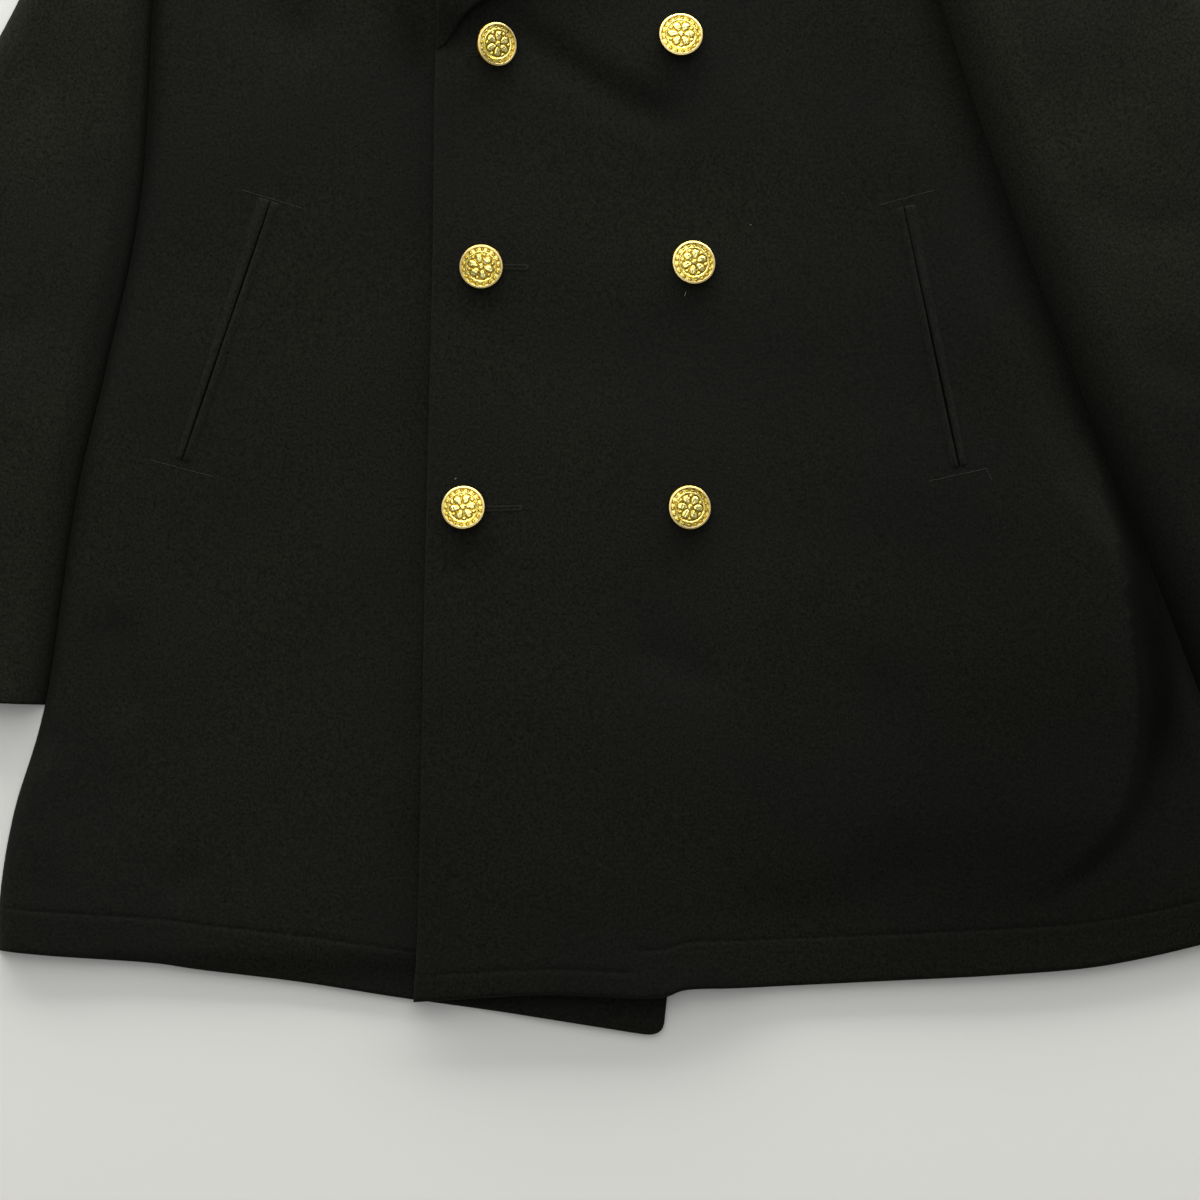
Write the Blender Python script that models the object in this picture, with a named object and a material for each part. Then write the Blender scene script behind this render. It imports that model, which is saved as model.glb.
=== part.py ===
# Pea coat laid flat on a surface, front up.
# Metres, +Z up, +X to the wearer's left, +Y to the collar.
# The sizes below are in millimetres, and MM turns them to metres when a mesh is made.

import math

import bmesh
import bpy
import numpy as np
from mathutils import Matrix

MM = 0.001

# ---------------------------------------------------------------- driving sizes

BACK_WALL = 3.5          # melton cloth of the back with what is sewn behind it
FRONT_WALL = 4.5         # fronts are doubled by their facing
SLEEVE_WALL = 3.5
LAPEL_WALL = 4.0
COLLAR_WALL = 4.0
SEAM_GAP = 0.3           # between pieces that are sewn edge to edge
LAYER_GAP = 0.8          # between panels that lie on each other
SIDE_ROLL = 14.0         # how far in from a folded side the cloth starts to roll down
SLEEVE_ROLL = 22.0
LAPEL_ROLL = 9.0
EDGE_ROUND = 1.2         # fall of the top face at a stitched free edge
RIGHT_LOFT = 1.6         # air between back and right front
LEFT_LOFT = 2.4          # air between the two fronts
SLEEVE_CROWN = 16.5      # height of a sleeve at its elbow
SEAM_HEIGHT = 9.5        # height of the armhole seam

BUTTON_DIAMETER = 25.4   # 40 line
BUTTON_RIM_CLEAR = 0.7   # the low side of a tilted button stays this far off the cloth
BUTTON_SIDES = 18
JET_WIDTH = 6.5          # one lip of a pocket
JET_RISE = 1.3
JET_LIFT = 0.6           # keeps a lip clear of the curved cloth below it
SLIT_WIDTH = 1.0

CELL = 3.0               # spacing of the height map that the layers are draped on
MAP_X = (-520.0, 580.0)
MAP_Y = (-60.0, 920.0)
STIFF_REACH = 30.0       # how far the stiff left front bridges over a step below it
SOFT_REACH = 12.0        # the right front over the back's edge
CLOSE_REACH = 6.0        # lapels on the fronts

FRONT_LENGTH = 800.0     # from the hem to the shoulder
HEM_ROWS = (0, 2, 6, 16, 28, 40, 52)      # rows of a front's grid, from the hem up
FOLD_ROWS = (0, 1.9, 7, SIDE_ROLL)        # rows next to a side fold or the shoulder
EDGE_COLUMNS = (0, 2, 6)                  # columns next to the stitched front edge
SLEEVE_COLUMNS = (0, 1.6, 7, 14)          # columns next to each fold of a sleeve

HEAD_CROWN = SEAM_HEIGHT + 2.0   # height of a sleeve at its head
SLEEVE_SWELLS = (0.0, 0.45)      # shares of the sleeve's length over which it rises to its crown
SLEEVE_ARCH = 0.12               # extra height in the middle of a sleeve's width
CUFF_SINK = 1.5
HEAD_ROLL = 12.0                 # length of the fall at the shoulder end of a sleeve
SLEEVE_INSIDE_FOLD = 5.0         # how much farther in than the wall the under panel's upper face ends
SLEEVE_UNDER_FOLD = 0.8          # and its lower face
UNDER_START_ROW = 4              # the under panel starts this many rows below the sleeve head

# ---------------------------------------------------------------- outlines: x, y in the plan

BACK_HEM = [(-329, 30), (-200, 32), (0, 33), (200, 36), (300, 38), (379, 42)]
BACK_TOP = [(-232, 787), (-160, 811), (-85, 835), (-55, 819), (0, 813),
            (55, 819), (85, 835), (160, 811), (232, 787)]
INSIDE_FOLD = 7.0        # how much farther in than a front's wall the back's upper face ends
UNDER_FOLD = 2.0         # and its lower face
NECK_SEAM = (95.0, 75.0)   # distance from the middle over which the back comes out to its neck seam
BACK_SEAM = (630.0, 690.0)   # y over which the back comes out from the side fold to the armhole seam

# wearer's right: the side edge from the hem up, then the armhole up to the shoulder point
RIGHT_SIDE = [(-329, 28), (-328, 62), (-320, 108), (-302, 171), (-285, 285), (-268, 359),
              (-248, 456), (-241, 570)]
RIGHT_ARMHOLE = [(-236, 600), (-219, 640), (-212, 690), (-219, 740), (-232, 787)]
LEFT_SIDE = [(379, 40), (378, 92), (370, 139), (356, 176), (336, 228), (314, 285), (276, 382),
             (242, 473), (209, 570)]
LEFT_ARMHOLE = [(202, 605), (203, 645), (209, 695), (219, 742), (232, 787)]
ARMHOLE_START = (580.0, 640.0)   # y over which a front's side changes from a fold to the armhole seam

RIGHT_HEM = [(51, -15), (40, -20), (14, -16), (-43, -7), (-100, 1), (-157, 10), (-214, 17),
             (-242, 21), (-299, 25), (-329, 28)]
LEFT_HEM = [(-92, -1), (-18, 3), (44, 1), (64, 6), (100, 7), (185, 11), (242, 14), (299, 19),
            (355, 31), (379, 40)]

# the stitched front edge from the hem up, then the roll line up to the neck
RIGHT_EDGE = [(51, -15), (60, 70), (75, 190), (86, 290), (91, 420), (84, 541), (74, 590), (46, 652),
              (4, 716), (-38, 770), (-64, 806), (-85, 835)]
LEFT_EDGE = [(-92, -1), (-89, 57), (-85, 251), (-81, 418), (-79, 541), (-72, 590), (-46, 650),
             (-4, 716), (38, 770), (64, 806), (85, 835)]
SHOULDER = [(85, 835), (160, 811), (232, 787)]

# lapel of the left front, from the break upwards; its roll follows the front's own edge
LAPEL_BREAK = 549.0        # y at the lower end of the roll
LAPEL_END = 768.0          # y at the upper end of the roll
LAPEL_LENGTH = 250.0       # along the roll
LAPEL_OVERHANG = 8.0       # how far the roll stands beyond the front's edge
LAPEL_LEAVES = (552, 586)  # y over which the roll moves out past the front's edge
LAPEL_WRAPS = (584, 620)   # y over which it comes down round that edge
LAPEL_OUTER = [(-70, 548), (-38, 568), (10, 594), (60, 637), (106, 700)]
LAPEL_CORNERS = [(55, 748), (76, 727), (88, 715)]   # along its top edge, from the roll to the point
RIGHT_LAPEL_START = 0.55   # the lower share of the right lapel is tucked away and not made

# collar, one row for each section, from the middle of the back to the end of the leaf on the wearer's
# left: the fold's x, y, z; where it points and how far the fall has turned over the stand, in degrees;
# the stand's length and its z; the fall's middle x, y; its edge x, y, z; how much it lies on the front
COLLAR_SECTIONS = [
    (0, 862, 4.7, 90, 0, 52, 6.4, 0, 841, 0, 819, 2.1, 0),
    (34, 860, 4.7, 88, 0, 49, 6.4, 35, 841, 36, 823, 2.1, 0),
    (64, 855, 5.2, 84, 15, 34, 7.2, 67, 846, 71, 838, 2.3, 0),
    (80, 848, 9.0, 98, 80, 14, 10.0, 98, 849, 116, 845, 4.5, 0),
    (67, 833, 15.0, 136, 150, 4, 14.0, 104, 833, 140, 825, 14.0, 1),
    (54, 814, 15.0, 144, 180, 1.0, 14.0, 101, 807, 151, 798, 14.0, 1),
    (40, 797, 15.0, 146, 180, 1.0, 14.0, 92, 775, 146, 764, 14.0, 1),
    (27, 779, 15.0, 146, 180, 1.0, 14.0, 76, 733, 134, 727, 14.0, 1),
]
COLLAR_FOLD_RADIUS = 2.6
LEAF_IN = 15.0             # how far in from its fold a leaf takes its height from the front

# sleeves: the outer fold from the shoulder point to the cuff; the inner fold is the armhole and side
RIGHT_SLEEVE_OUTER = [(-243, 784), (-262, 735), (-280, 680), (-298, 622), (-317, 570), (-351, 505),
                      (-384, 440), (-412, 372), (-432, 300), (-446, 235), (-456, 174)]
RIGHT_CUFF = 168
LEFT_SLEEVE_OUTER = [(243, 784), (270, 735), (299, 680), (328, 622), (352, 570), (397, 470), (438, 380),
                     (478, 288), (516, 195)]
LEFT_CUFF = 139

# folds laid on the fronts: path downwards, height, width towards the wearer's left and right
LEFT_FOLDS = [
    ([(292, 345), (314, 280), (322, 228), (324, 171), (323, 120), (315, 96), (294, 73), (258, 55)],
     13.0, 10, 62),
    ([(338, 205), (341, 171), (340, 120)], -1.0, 14, 9),
    ([(-37, 564), (-8, 541), (26, 518), (66, 501)], -2.0, 15, 15),
    ([(71, 52), (145, 54), (219, 102)], -2.0, 22, 26),
    ([(26, 205), (94, 176)], -0.9, 13, 13),
]
RIGHT_FOLDS = [
    ([(-262, 228), (-257, 190), (-253, 148)], -1.2, 14, 14),
    ([(-231, 57), (-214, 80)], -0.9, 12, 12),
]
SIDE_SWELL = (200.0, 175.0, 5.5, 110.0)   # x, y, height and radius of the soft swelling over the hip

# buttons: node, x, y, tilt, compass direction of the lifted side, in degrees
BUTTONS = [
    ("button_1", -45.3, 544.6, 23, 185),
    ("button_2", 60.4, 549.8, 14, 250),
    ("button_3", -54.0, 417.8, 5, 20),
    ("button_4", 67.3, 420.3, 14, 212),
    ("button_5", -64.1, 280.7, 12, 300),
    ("button_6", 65.2, 280.7, 16, 195),
]
# slits of the hand pockets, upper end and lower end
POCKETS = [
    ("pocket_right", (-173.1, 455.2), (-223.9, 307.0)),
    ("pocket_left", (186.9, 451.8), (218.5, 303.2)),
]

# radius share and height in mm of a button, from the shank's foot to the middle of the dome
BUTTON_PROFILE = [(0.22, 0.0), (0.20, 1.0), (0.22, 1.6), (0.76, 1.7), (0.95, 2.3), (1.0, 3.1), (0.98, 3.8),
                  (0.92, 4.2), (0.86, 4.0), (0.70, 5.0), (0.44, 6.1), (0.20, 6.6)]


# ---------------------------------------------------------------- lines in the plan

def smooth_line(points, steps=10):
    """Catmull-Rom curve through the points, as a dense row of points."""
    p = np.array(points, float)
    p = np.vstack([2 * p[0] - p[1], p, 2 * p[-1] - p[-2]])
    u = np.linspace(0, 1, steps, endpoint=False)[:, None]
    spans = []
    for a, b, c, d in zip(p[:-3], p[1:-2], p[2:-1], p[3:]):
        spans.append(0.5 * (2 * b + (c - a) * u + (2 * a - 5 * b + 4 * c - d) * u ** 2
                            + (3 * b - a - 3 * c + d) * u ** 3))
    return np.vstack(spans + [p[-2:-1]])


def lengths(line):
    """Distance along a line at each of its points."""
    return np.concatenate([[0], np.cumsum(np.linalg.norm(np.diff(line, axis=0), axis=1))])


def at_share(line, share):
    """Points at the given shares, 0 to 1, of a line's length."""
    run = lengths(line)
    return np.stack([np.interp(np.asarray(share) * run[-1], run, line[:, k]) for k in (0, 1)], axis=-1)


def moved_in(line, distance, centre):
    """A line moved sideways by a distance for each point, towards the side where centre lies."""
    way = np.gradient(line, axis=0)
    way /= np.linalg.norm(way, axis=1, keepdims=True)
    side = np.stack([-way[:, 1], way[:, 0]], axis=1)
    towards = np.sign(np.sign(((np.array(centre) - line) * side).sum(axis=1)).sum())
    return line + side * (towards * distance * np.ones(len(line)))[:, None]


def mirrored(points):
    return [(-x, y) for x, y in points]


def smoothstep(low, high, value):
    u = np.clip((np.asarray(value, float) - low) / (high - low), 0, 1)
    return u * u * (3 - 2 * u)


# ---------------------------------------------------------------- the height map

map_x, map_y = np.meshgrid(np.arange(MAP_X[0], MAP_X[1], CELL), np.arange(MAP_Y[0], MAP_Y[1], CELL))


def inside(line):
    """Which cells of the height map lie inside a closed line."""
    found = np.zeros(map_x.shape, bool)
    for (x0, y0), (x1, y1) in zip(line, np.roll(line, -1, axis=0)):
        if y0 != y1:
            crosses = (y0 > map_y) != (y1 > map_y)
            found ^= crosses & (map_x < (x1 - x0) * (map_y - y0) / (y1 - y0) + x0)
    return found


def spread(height, reach):
    """Stiff cloth over a height map: each cell takes the highest within reach, then all is smoothed."""
    cells = max(1, int(round(reach / CELL)))
    out = height
    for axis in (0, 1):
        out = np.max([np.roll(out, k, axis) for k in range(-cells, cells + 1)], axis=0)
    half = max(1, cells // 2)
    for axis in (0, 1, 0, 1):
        out = np.mean([np.roll(out, k, axis) for k in range(-half, half + 1)], axis=0)
    return out


def sample(height, x, y):
    """Height between the cells of the map."""
    u = np.clip((np.asarray(x) - MAP_X[0]) / CELL, 0, height.shape[1] - 1.001)
    v = np.clip((np.asarray(y) - MAP_Y[0]) / CELL, 0, height.shape[0] - 1.001)
    i, j = u.astype(int), v.astype(int)
    fu, fv = u - i, v - j
    low = height[j, i] * (1 - fu) + height[j, i + 1] * fu
    high = height[j + 1, i] * (1 - fu) + height[j + 1, i + 1] * fu
    return low * (1 - fv) + high * fv


def fold_height(path, height, left_width, right_width):
    """A soft ridge along a path that dies out at both ends, with its own width on each side."""
    line = smooth_line(path, 6)
    way = np.gradient(line, axis=0)
    nearest = np.full(map_x.shape, 1e9)
    share = np.zeros(map_x.shape)
    side = np.zeros(map_x.shape)
    for k, ((x, y), (dx, dy)) in enumerate(zip(line, way)):
        away = np.hypot(map_x - x, map_y - y)
        closer = away < nearest
        nearest = np.where(closer, away, nearest)
        share = np.where(closer, k / (len(line) - 1), share)
        side = np.where(closer, dx * (map_y - y) - dy * (map_x - x), side)
    width = np.where(side > 0, left_width, right_width)
    ends = smoothstep(0, 0.3, share) * smoothstep(0, 0.3, 1 - share)
    return height * np.exp(-(nearest / width) ** 2) * ends


def folds_height(folds):
    """A falling path runs down the coat, so its left is the wearer's left."""
    return sum(fold_height(*fold) for fold in folds)


def swelling(x, y, height, radius):
    """A soft round rise."""
    return height * np.exp(-((map_x - x) ** 2 + (map_y - y) ** 2) / radius ** 2)


# ---------------------------------------------------------------- surfaces

def coons(bottom, top, left, right, s, t):
    """Coons patch between four lines, at shares s across and t up."""
    c0, c1 = at_share(bottom, s), at_share(top, s)
    d0, d1 = at_share(left, t), at_share(right, t)
    s, t = s[..., None], t[..., None]
    corners = ((1 - s) * (1 - t) * bottom[0] + s * (1 - t) * bottom[-1]
               + (1 - s) * t * top[0] + s * t * top[-1])
    return (1 - t) * c0 + t * c1 + (1 - s) * d0 + s * d1 - corners


def quarter(distance, radius):
    """Quarter round: 0 at the edge, 1 from the radius inwards."""
    u = 1 - np.clip(distance / radius, 0, 1)
    return np.sqrt(np.clip(1 - u * u, 0, 1))


def shares(width, near_start, middle, near_end):
    """Shares across rows of the given widths: set distances near both edges, even ones between."""
    width = np.asarray(width, float)[:, None]
    scale = np.minimum(1, 0.42 * width / max(max(near_start), max(near_end), 1e-6))
    first = np.array(near_start)[None] * scale / width
    last = 1 - np.array(near_end)[::-1][None] * scale / width
    step = np.linspace(0, 1, middle + 2)[1:-1][None]
    between = first[:, -1:] + (last[:, :1] - first[:, -1:]) * step
    return np.hstack([first, between, last])


def offset_inwards(outer, wall):
    """The wall's other face: each point of the outer grid moved along its normal."""
    along, across = np.gradient(outer, axis=0), np.gradient(outer, axis=1)
    normal = np.cross(across, along)
    normal /= np.linalg.norm(normal, axis=2, keepdims=True)
    normal *= np.sign(normal[..., 2:3].sum())
    return outer - wall * normal


def border_of(plan):
    """The closed line round a grid of points."""
    return np.vstack([plan[0], plan[1:, -1], plan[-1, -2::-1], plan[-2:0:-1, 0]])


def grid_body(name, outer, inner, material):
    """Closed solid between two grids of points, with a rim all round, as an object."""
    rows, cols = outer.shape[:2]
    index = np.arange(rows * cols).reshape(rows, cols)
    points = np.vstack([outer.reshape(-1, 3), inner.reshape(-1, 3)]) * MM
    a, b, c, d = (index[:-1, :-1].ravel(), index[:-1, 1:].ravel(),
                  index[1:, 1:].ravel(), index[1:, :-1].ravel())
    faces = np.vstack([np.stack([a, b, c, d], 1), np.stack([d, c, b, a], 1) + rows * cols])
    rim = np.concatenate([index[0], index[1:, -1], index[-1, -2::-1], index[-2:0:-1, 0]])
    after = np.roll(rim, -1)
    walls = np.stack([after, rim, rim + rows * cols, after + rows * cols], 1)
    return add_object(name, points, np.vstack([faces, walls]).tolist(), material)


def add_object(name, points, faces, material):
    mesh = bpy.data.meshes.new(name)
    mesh.from_pydata(points.tolist(), [], faces)
    shape = bmesh.new()
    shape.from_mesh(mesh)
    bmesh.ops.triangulate(shape, faces=[f for f in shape.faces if len(f.verts) > 3])
    bmesh.ops.recalc_face_normals(shape, faces=shape.faces)
    shape.to_mesh(mesh)
    shape.free()
    mesh.materials.append(material)
    mesh.shade_smooth()
    mesh.set_sharp_from_angle(angle=math.radians(40))
    thing = bpy.data.objects.new(name, mesh)
    bpy.context.collection.objects.link(thing)
    return thing


def make_material(name, colour, roughness, metallic):
    material = bpy.data.materials.new(name)
    material.use_nodes = True
    shader = material.node_tree.nodes["Principled BSDF"]
    shader.inputs["Base Color"].default_value = (*colour, 1)
    shader.inputs["Roughness"].default_value = roughness
    shader.inputs["Metallic"].default_value = metallic
    return material


# ---------------------------------------------------------------- back

def make_back(material):
    """Flat panel; its edges stay inside the fronts, which roll down over them."""
    left, right = smooth_line(RIGHT_SIDE + RIGHT_ARMHOLE), smooth_line(LEFT_SIDE + LEFT_ARMHOLE)
    top, hem = smooth_line(BACK_TOP), smooth_line(BACK_HEM)
    t, s = np.meshgrid(np.linspace(0, 1, 22), np.linspace(0, 1, 12), indexing="ij")
    faces = []
    for inset in (FRONT_WALL + INSIDE_FOLD, FRONT_WALL + UNDER_FOLD):
        sides = []
        for line in (left, right):
            seam = smoothstep(*BACK_SEAM, line[:, 1])
            sides.append(moved_in(line, inset * (1 - seam) + SEAM_GAP * seam, (0, 400)))
        neck = smoothstep(*NECK_SEAM, np.abs(top[:, 0]))
        upper = moved_in(top, inset * (1 - neck) + SEAM_GAP * neck, (0, 400))
        upper[0], upper[-1] = sides[0][-1] - (0, inset), sides[1][-1] - (0, inset)
        sides = [np.vstack([line[:-6], end]) for line, end in zip(sides, (upper[:1], upper[-1:]))]
        bottom = np.vstack([sides[0][:1], hem[6:-6], sides[1][:1]])
        faces.append(coons(bottom, upper, sides[0], sides[1], s, t))
    top_face = np.dstack([faces[0], np.full(s.shape, BACK_WALL)])
    low_face = np.dstack([faces[1], np.zeros(s.shape)])
    grid_body("back", top_face, low_face, material)
    return border_of(faces[1])


# ---------------------------------------------------------------- fronts

def front_grid(edge, hem, side, armhole, shoulder, rows, columns):
    """Plan points of a front, and how far each lies from its side and its shoulder."""
    front_line, side_line = smooth_line(edge), smooth_line(side + armhole)
    hem_line, top_line = smooth_line(hem), smooth_line(shoulder)
    up = shares([FRONT_LENGTH], HEM_ROWS, rows, FOLD_ROWS)[0]
    width = np.linalg.norm(at_share(side_line, up) - at_share(front_line, up), axis=1)
    s = shares(width, EDGE_COLUMNS, columns, FOLD_ROWS)
    t = np.repeat(up[:, None], s.shape[1], axis=1)
    plan = coons(hem_line, top_line, front_line, side_line, s, t)
    from_side = (1 - s) * width[:, None]
    from_shoulder = (1 - t) * FRONT_LENGTH
    return plan, from_side, from_shoulder, at_share(side_line, up)


def make_front(name, grid, height, material):
    """Cloth that follows a height map and rolls down to the surface at its side and shoulder."""
    plan, from_side, from_shoulder, side_points = grid
    x, y = plan[..., 0], plan[..., 1]
    seam = smoothstep(*ARMHOLE_START, side_points[:, 1])[:, None]
    roll = quarter(from_side, SIDE_ROLL)
    z = sample(height, x, y)
    seam_drop = np.clip(z - SEAM_HEIGHT, 0, None) * (1 - roll)
    z = seam * (z - seam_drop) + (1 - seam) * z * roll
    z = z * quarter(from_shoulder, SIDE_ROLL)
    outer = np.dstack([x, y, z])
    inner = offset_inwards(outer, FRONT_WALL)
    inner[..., 2] = np.maximum(inner[..., 2], 0)
    inner[:-1, 0, :2] = outer[:-1, 0, :2]
    inner[0, :, :2] = outer[0, :, :2]
    outer[0, :, 2] -= EDGE_ROUND
    outer[1:-2, 0, 2] -= EDGE_ROUND
    outer[..., 2] = np.maximum(outer[..., 2], 0)
    grid_body(name, outer, inner, material)


# ---------------------------------------------------------------- sleeves

def make_sleeve(side, inner_points, outer_line, material):
    """Top panel arched over a flat under panel; both folds roll down to the surface.
    Below the armhole the inner fold lies against the body's side."""
    down = lengths(inner_points)
    run = down / down[-1]
    outer_points = at_share(outer_line, run)
    width = np.linalg.norm(outer_points - inner_points, axis=1)
    across = shares(width, SLEEVE_COLUMNS, 4, SLEEVE_COLUMNS)
    plan = inner_points[:, None] + (outer_points - inner_points)[:, None] * across[..., None]
    from_inner, from_outer = across * width[:, None], (1 - across) * width[:, None]
    radius = np.minimum(SLEEVE_ROLL, 0.45 * width)[:, None]
    seam = smoothstep(*ARMHOLE_START, inner_points[:, 1])[:, None]
    crown = HEAD_CROWN + (SLEEVE_CROWN - HEAD_CROWN) * smoothstep(*SLEEVE_SWELLS, run)[:, None]
    crown = crown * (1 + SLEEVE_ARCH * np.sin(np.pi * across)) - CUFF_SINK * smoothstep(0.75, 1, run)[:, None]
    inner_roll = quarter(from_inner, radius)
    at_seam = SEAM_HEIGHT / crown + (1 - SEAM_HEIGHT / crown) * inner_roll
    z = crown * quarter(from_outer, radius) * (inner_roll * (1 - seam) + at_seam * seam)
    z = z * quarter(down[:, None], HEAD_ROLL)
    outer_grid = np.dstack([plan, z])
    inner_grid = offset_inwards(outer_grid, SLEEVE_WALL)
    inner_grid[..., 2] = np.maximum(inner_grid[..., 2], 0)
    inner_grid[-1, :, :2] = outer_grid[-1, :, :2]
    grid_body("sleeve_%s_top" % side, outer_grid, inner_grid, material)

    way = (outer_points - inner_points) / width[:, None]
    across_under = np.linspace(0, 1, 4)[None, :, None]
    layers = []
    for inset in (SLEEVE_WALL + SLEEVE_INSIDE_FOLD, SLEEVE_WALL + SLEEVE_UNDER_FOLD):
        near = inner_points + way * np.where(seam > 0.5, 2 * SEAM_GAP, inset)
        far = outer_points - way * inset
        layers.append((near[:, None] + (far - near)[:, None] * across_under)[UNDER_START_ROW:])
    flat = np.ones(layers[0].shape[:2])
    grid_body("sleeve_%s_under" % side, np.dstack([layers[0], SLEEVE_WALL * flat]),
              np.dstack([layers[1], 0 * flat]), material)


def sleeve_inner_fold(side_points, cuff):
    """Inner fold from the shoulder point down: the front's own side points, moved clear of it."""
    line = side_points[::-1]
    below = int(np.argmax(line[:, 1] < cuff))
    share = (line[below - 1, 1] - cuff) / (line[below - 1, 1] - line[below, 1])
    end = line[below - 1] + (line[below] - line[below - 1]) * share
    outwards = np.sign(line[:, 0].sum())
    return np.vstack([line[:below], [end]]) + (outwards * SEAM_GAP, 0)


# ---------------------------------------------------------------- lapels, pockets, buttons

def lapel_lines(edge, side):
    """Roll, outer and top lines of a lapel; side is 1 on the wearer's left and -1 on the right."""
    line = smooth_line(edge)
    line = line[(line[:, 1] > LAPEL_BREAK) & (line[:, 1] < LAPEL_END)]
    roll = moved_in(line, -LAPEL_OVERHANG * smoothstep(*LAPEL_LEAVES, line[:, 1]), (side * 200, 650))
    flip = np.array([side, 1])
    outer = smooth_line(np.array(LAPEL_OUTER) * flip)
    top = smooth_line(np.vstack([roll[-1:], np.array(LAPEL_CORNERS) * flip, outer[-1:]]))
    return roll, outer, top


def make_lapel(name, lines, under, ground, start, material):
    """Turned-back lapel on its front, with its fold rolled down over the front's edge."""
    roll_line, outer_line, top_line = lines
    up = start + (1 - start) * shares([LAPEL_LENGTH], (0, 3), 11, (0, 3))[0]
    roll_points = at_share(roll_line, up)
    width = np.linalg.norm(at_share(outer_line, up) - roll_points, axis=1)
    s = shares(width, (0, 1.2, 4.5, LAPEL_ROLL), 4, (0, 3))
    t = np.repeat(up[:, None], s.shape[1], axis=1)
    bottom = np.vstack([roll_line[:1], outer_line[:1]])
    plan = coons(bottom, top_line, roll_line, outer_line, s, t)
    x, y = plan[..., 0], plan[..., 1]
    low = sample(under, x, y) + LAYER_GAP
    z = low + LAPEL_WALL
    wrap = smoothstep(*LAPEL_WRAPS, y)
    low = (1 - wrap) * (low + 0.6 * LAPEL_WALL) + wrap * (sample(ground, x, y) + LAYER_GAP)
    z = low + (z - low) * quarter(s * width[:, None], LAPEL_ROLL)
    outer = np.dstack([x, y, z])
    inner = offset_inwards(outer, LAPEL_WALL)
    least = (1 - wrap) * (sample(under, x, y) + LAYER_GAP) + wrap * low
    inner[..., 2] = np.maximum(inner[..., 2], np.minimum(least, z - 0.5))
    inner[:, -1, :2] = outer[:, -1, :2]
    outer[:, -1, 2] -= EDGE_ROUND
    outer[-1, 3:-1, 2] -= EDGE_ROUND
    grid_body(name, outer, inner, material)
    return border_of(plan)


def make_jets(name, top_end, low_end, height, material):
    """Two narrow lips of cloth along a slit, lying on the front."""
    top_end, low_end = np.array(top_end), np.array(low_end)
    way = (low_end - top_end) / np.linalg.norm(low_end - top_end)
    side = np.array([-way[1], way[0]])
    length = np.linalg.norm(low_end - top_end)
    along = np.linspace(0, 1, 13)[:, None]
    for label, sign in (("a", 1), ("b", -1)):
        across = sign * (0.5 * SLIT_WIDTH + JET_WIDTH * np.array([[0.0, 0.5, 1.0]]))
        x = top_end[0] + way[0] * length * along + side[0] * across
        y = top_end[1] + way[1] * length * along + side[1] * across
        base = sample(height, x, y) + JET_LIFT
        rise = JET_RISE * np.array([[0.85, 1.0, 0.6]])
        grid_body("%s_jet_%s" % (name, label), np.dstack([x, y, base + rise]),
                  np.dstack([x, y, base]), material)


def make_button(name, x, y, tilt, facing, height, material):
    """Domed shank button, turned from its profile and tilted on its shank."""
    radius = BUTTON_DIAMETER / 2
    tilt, facing = math.radians(tilt), math.radians(facing)
    shank = BUTTON_RIM_CLEAR + radius * math.sin(tilt)
    profile = np.array(BUTTON_PROFILE)
    rings = profile[:, 0] * radius
    levels = profile[:, 1] + np.where(profile[:, 1] > 1.2, shank, 0)
    turn = np.linspace(0, 2 * math.pi, BUTTON_SIDES, endpoint=False)
    px = rings[:, None] * np.cos(turn)
    py = rings[:, None] * np.sin(turn)
    pz = np.repeat(levels[:, None], BUTTON_SIDES, axis=1)
    middles = [[0, 0, levels[0]], [0, 0, levels[-1] + 0.2]]
    points = np.vstack([np.stack([px, py, pz], -1).reshape(-1, 3), middles])
    lift = np.clip((points[:, 2] - 0.5) / 1.0, 0, 1)
    angle = tilt * lift
    # the disc turns about a level axis square to its facing; the shank's foot stays flat
    along = points[:, 0] * math.cos(facing) + points[:, 1] * math.sin(facing)
    level = points[:, 2] - shank
    new_along = along * np.cos(angle) - np.where(lift > 0, level, 0) * np.sin(angle)
    new_level = along * np.sin(angle) + level * np.cos(angle)
    points[:, 0] += (new_along - along) * math.cos(facing)
    points[:, 1] += (new_along - along) * math.sin(facing)
    points[:, 2] = np.where(lift > 0, new_level + shank, points[:, 2])
    points += (x, y, float(sample(height, x, y)) + SEAM_GAP + 0.2)
    count = len(rings)
    index = np.arange(count * BUTTON_SIDES).reshape(count, BUTTON_SIDES)
    beside = np.roll(index, -1, axis=1)
    faces = np.stack([index[:-1], beside[:-1], beside[1:], index[1:]], -1).reshape(-1, 4).tolist()
    low, high = count * BUTTON_SIDES, count * BUTTON_SIDES + 1
    faces += [[low, b, a] for a, b in zip(index[0], beside[0])]
    faces += [[high, a, b] for a, b in zip(index[-1], beside[-1])]
    add_object(name, points * MM, [[int(k) for k in f] for f in faces], material)


# ---------------------------------------------------------------- collar

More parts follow.
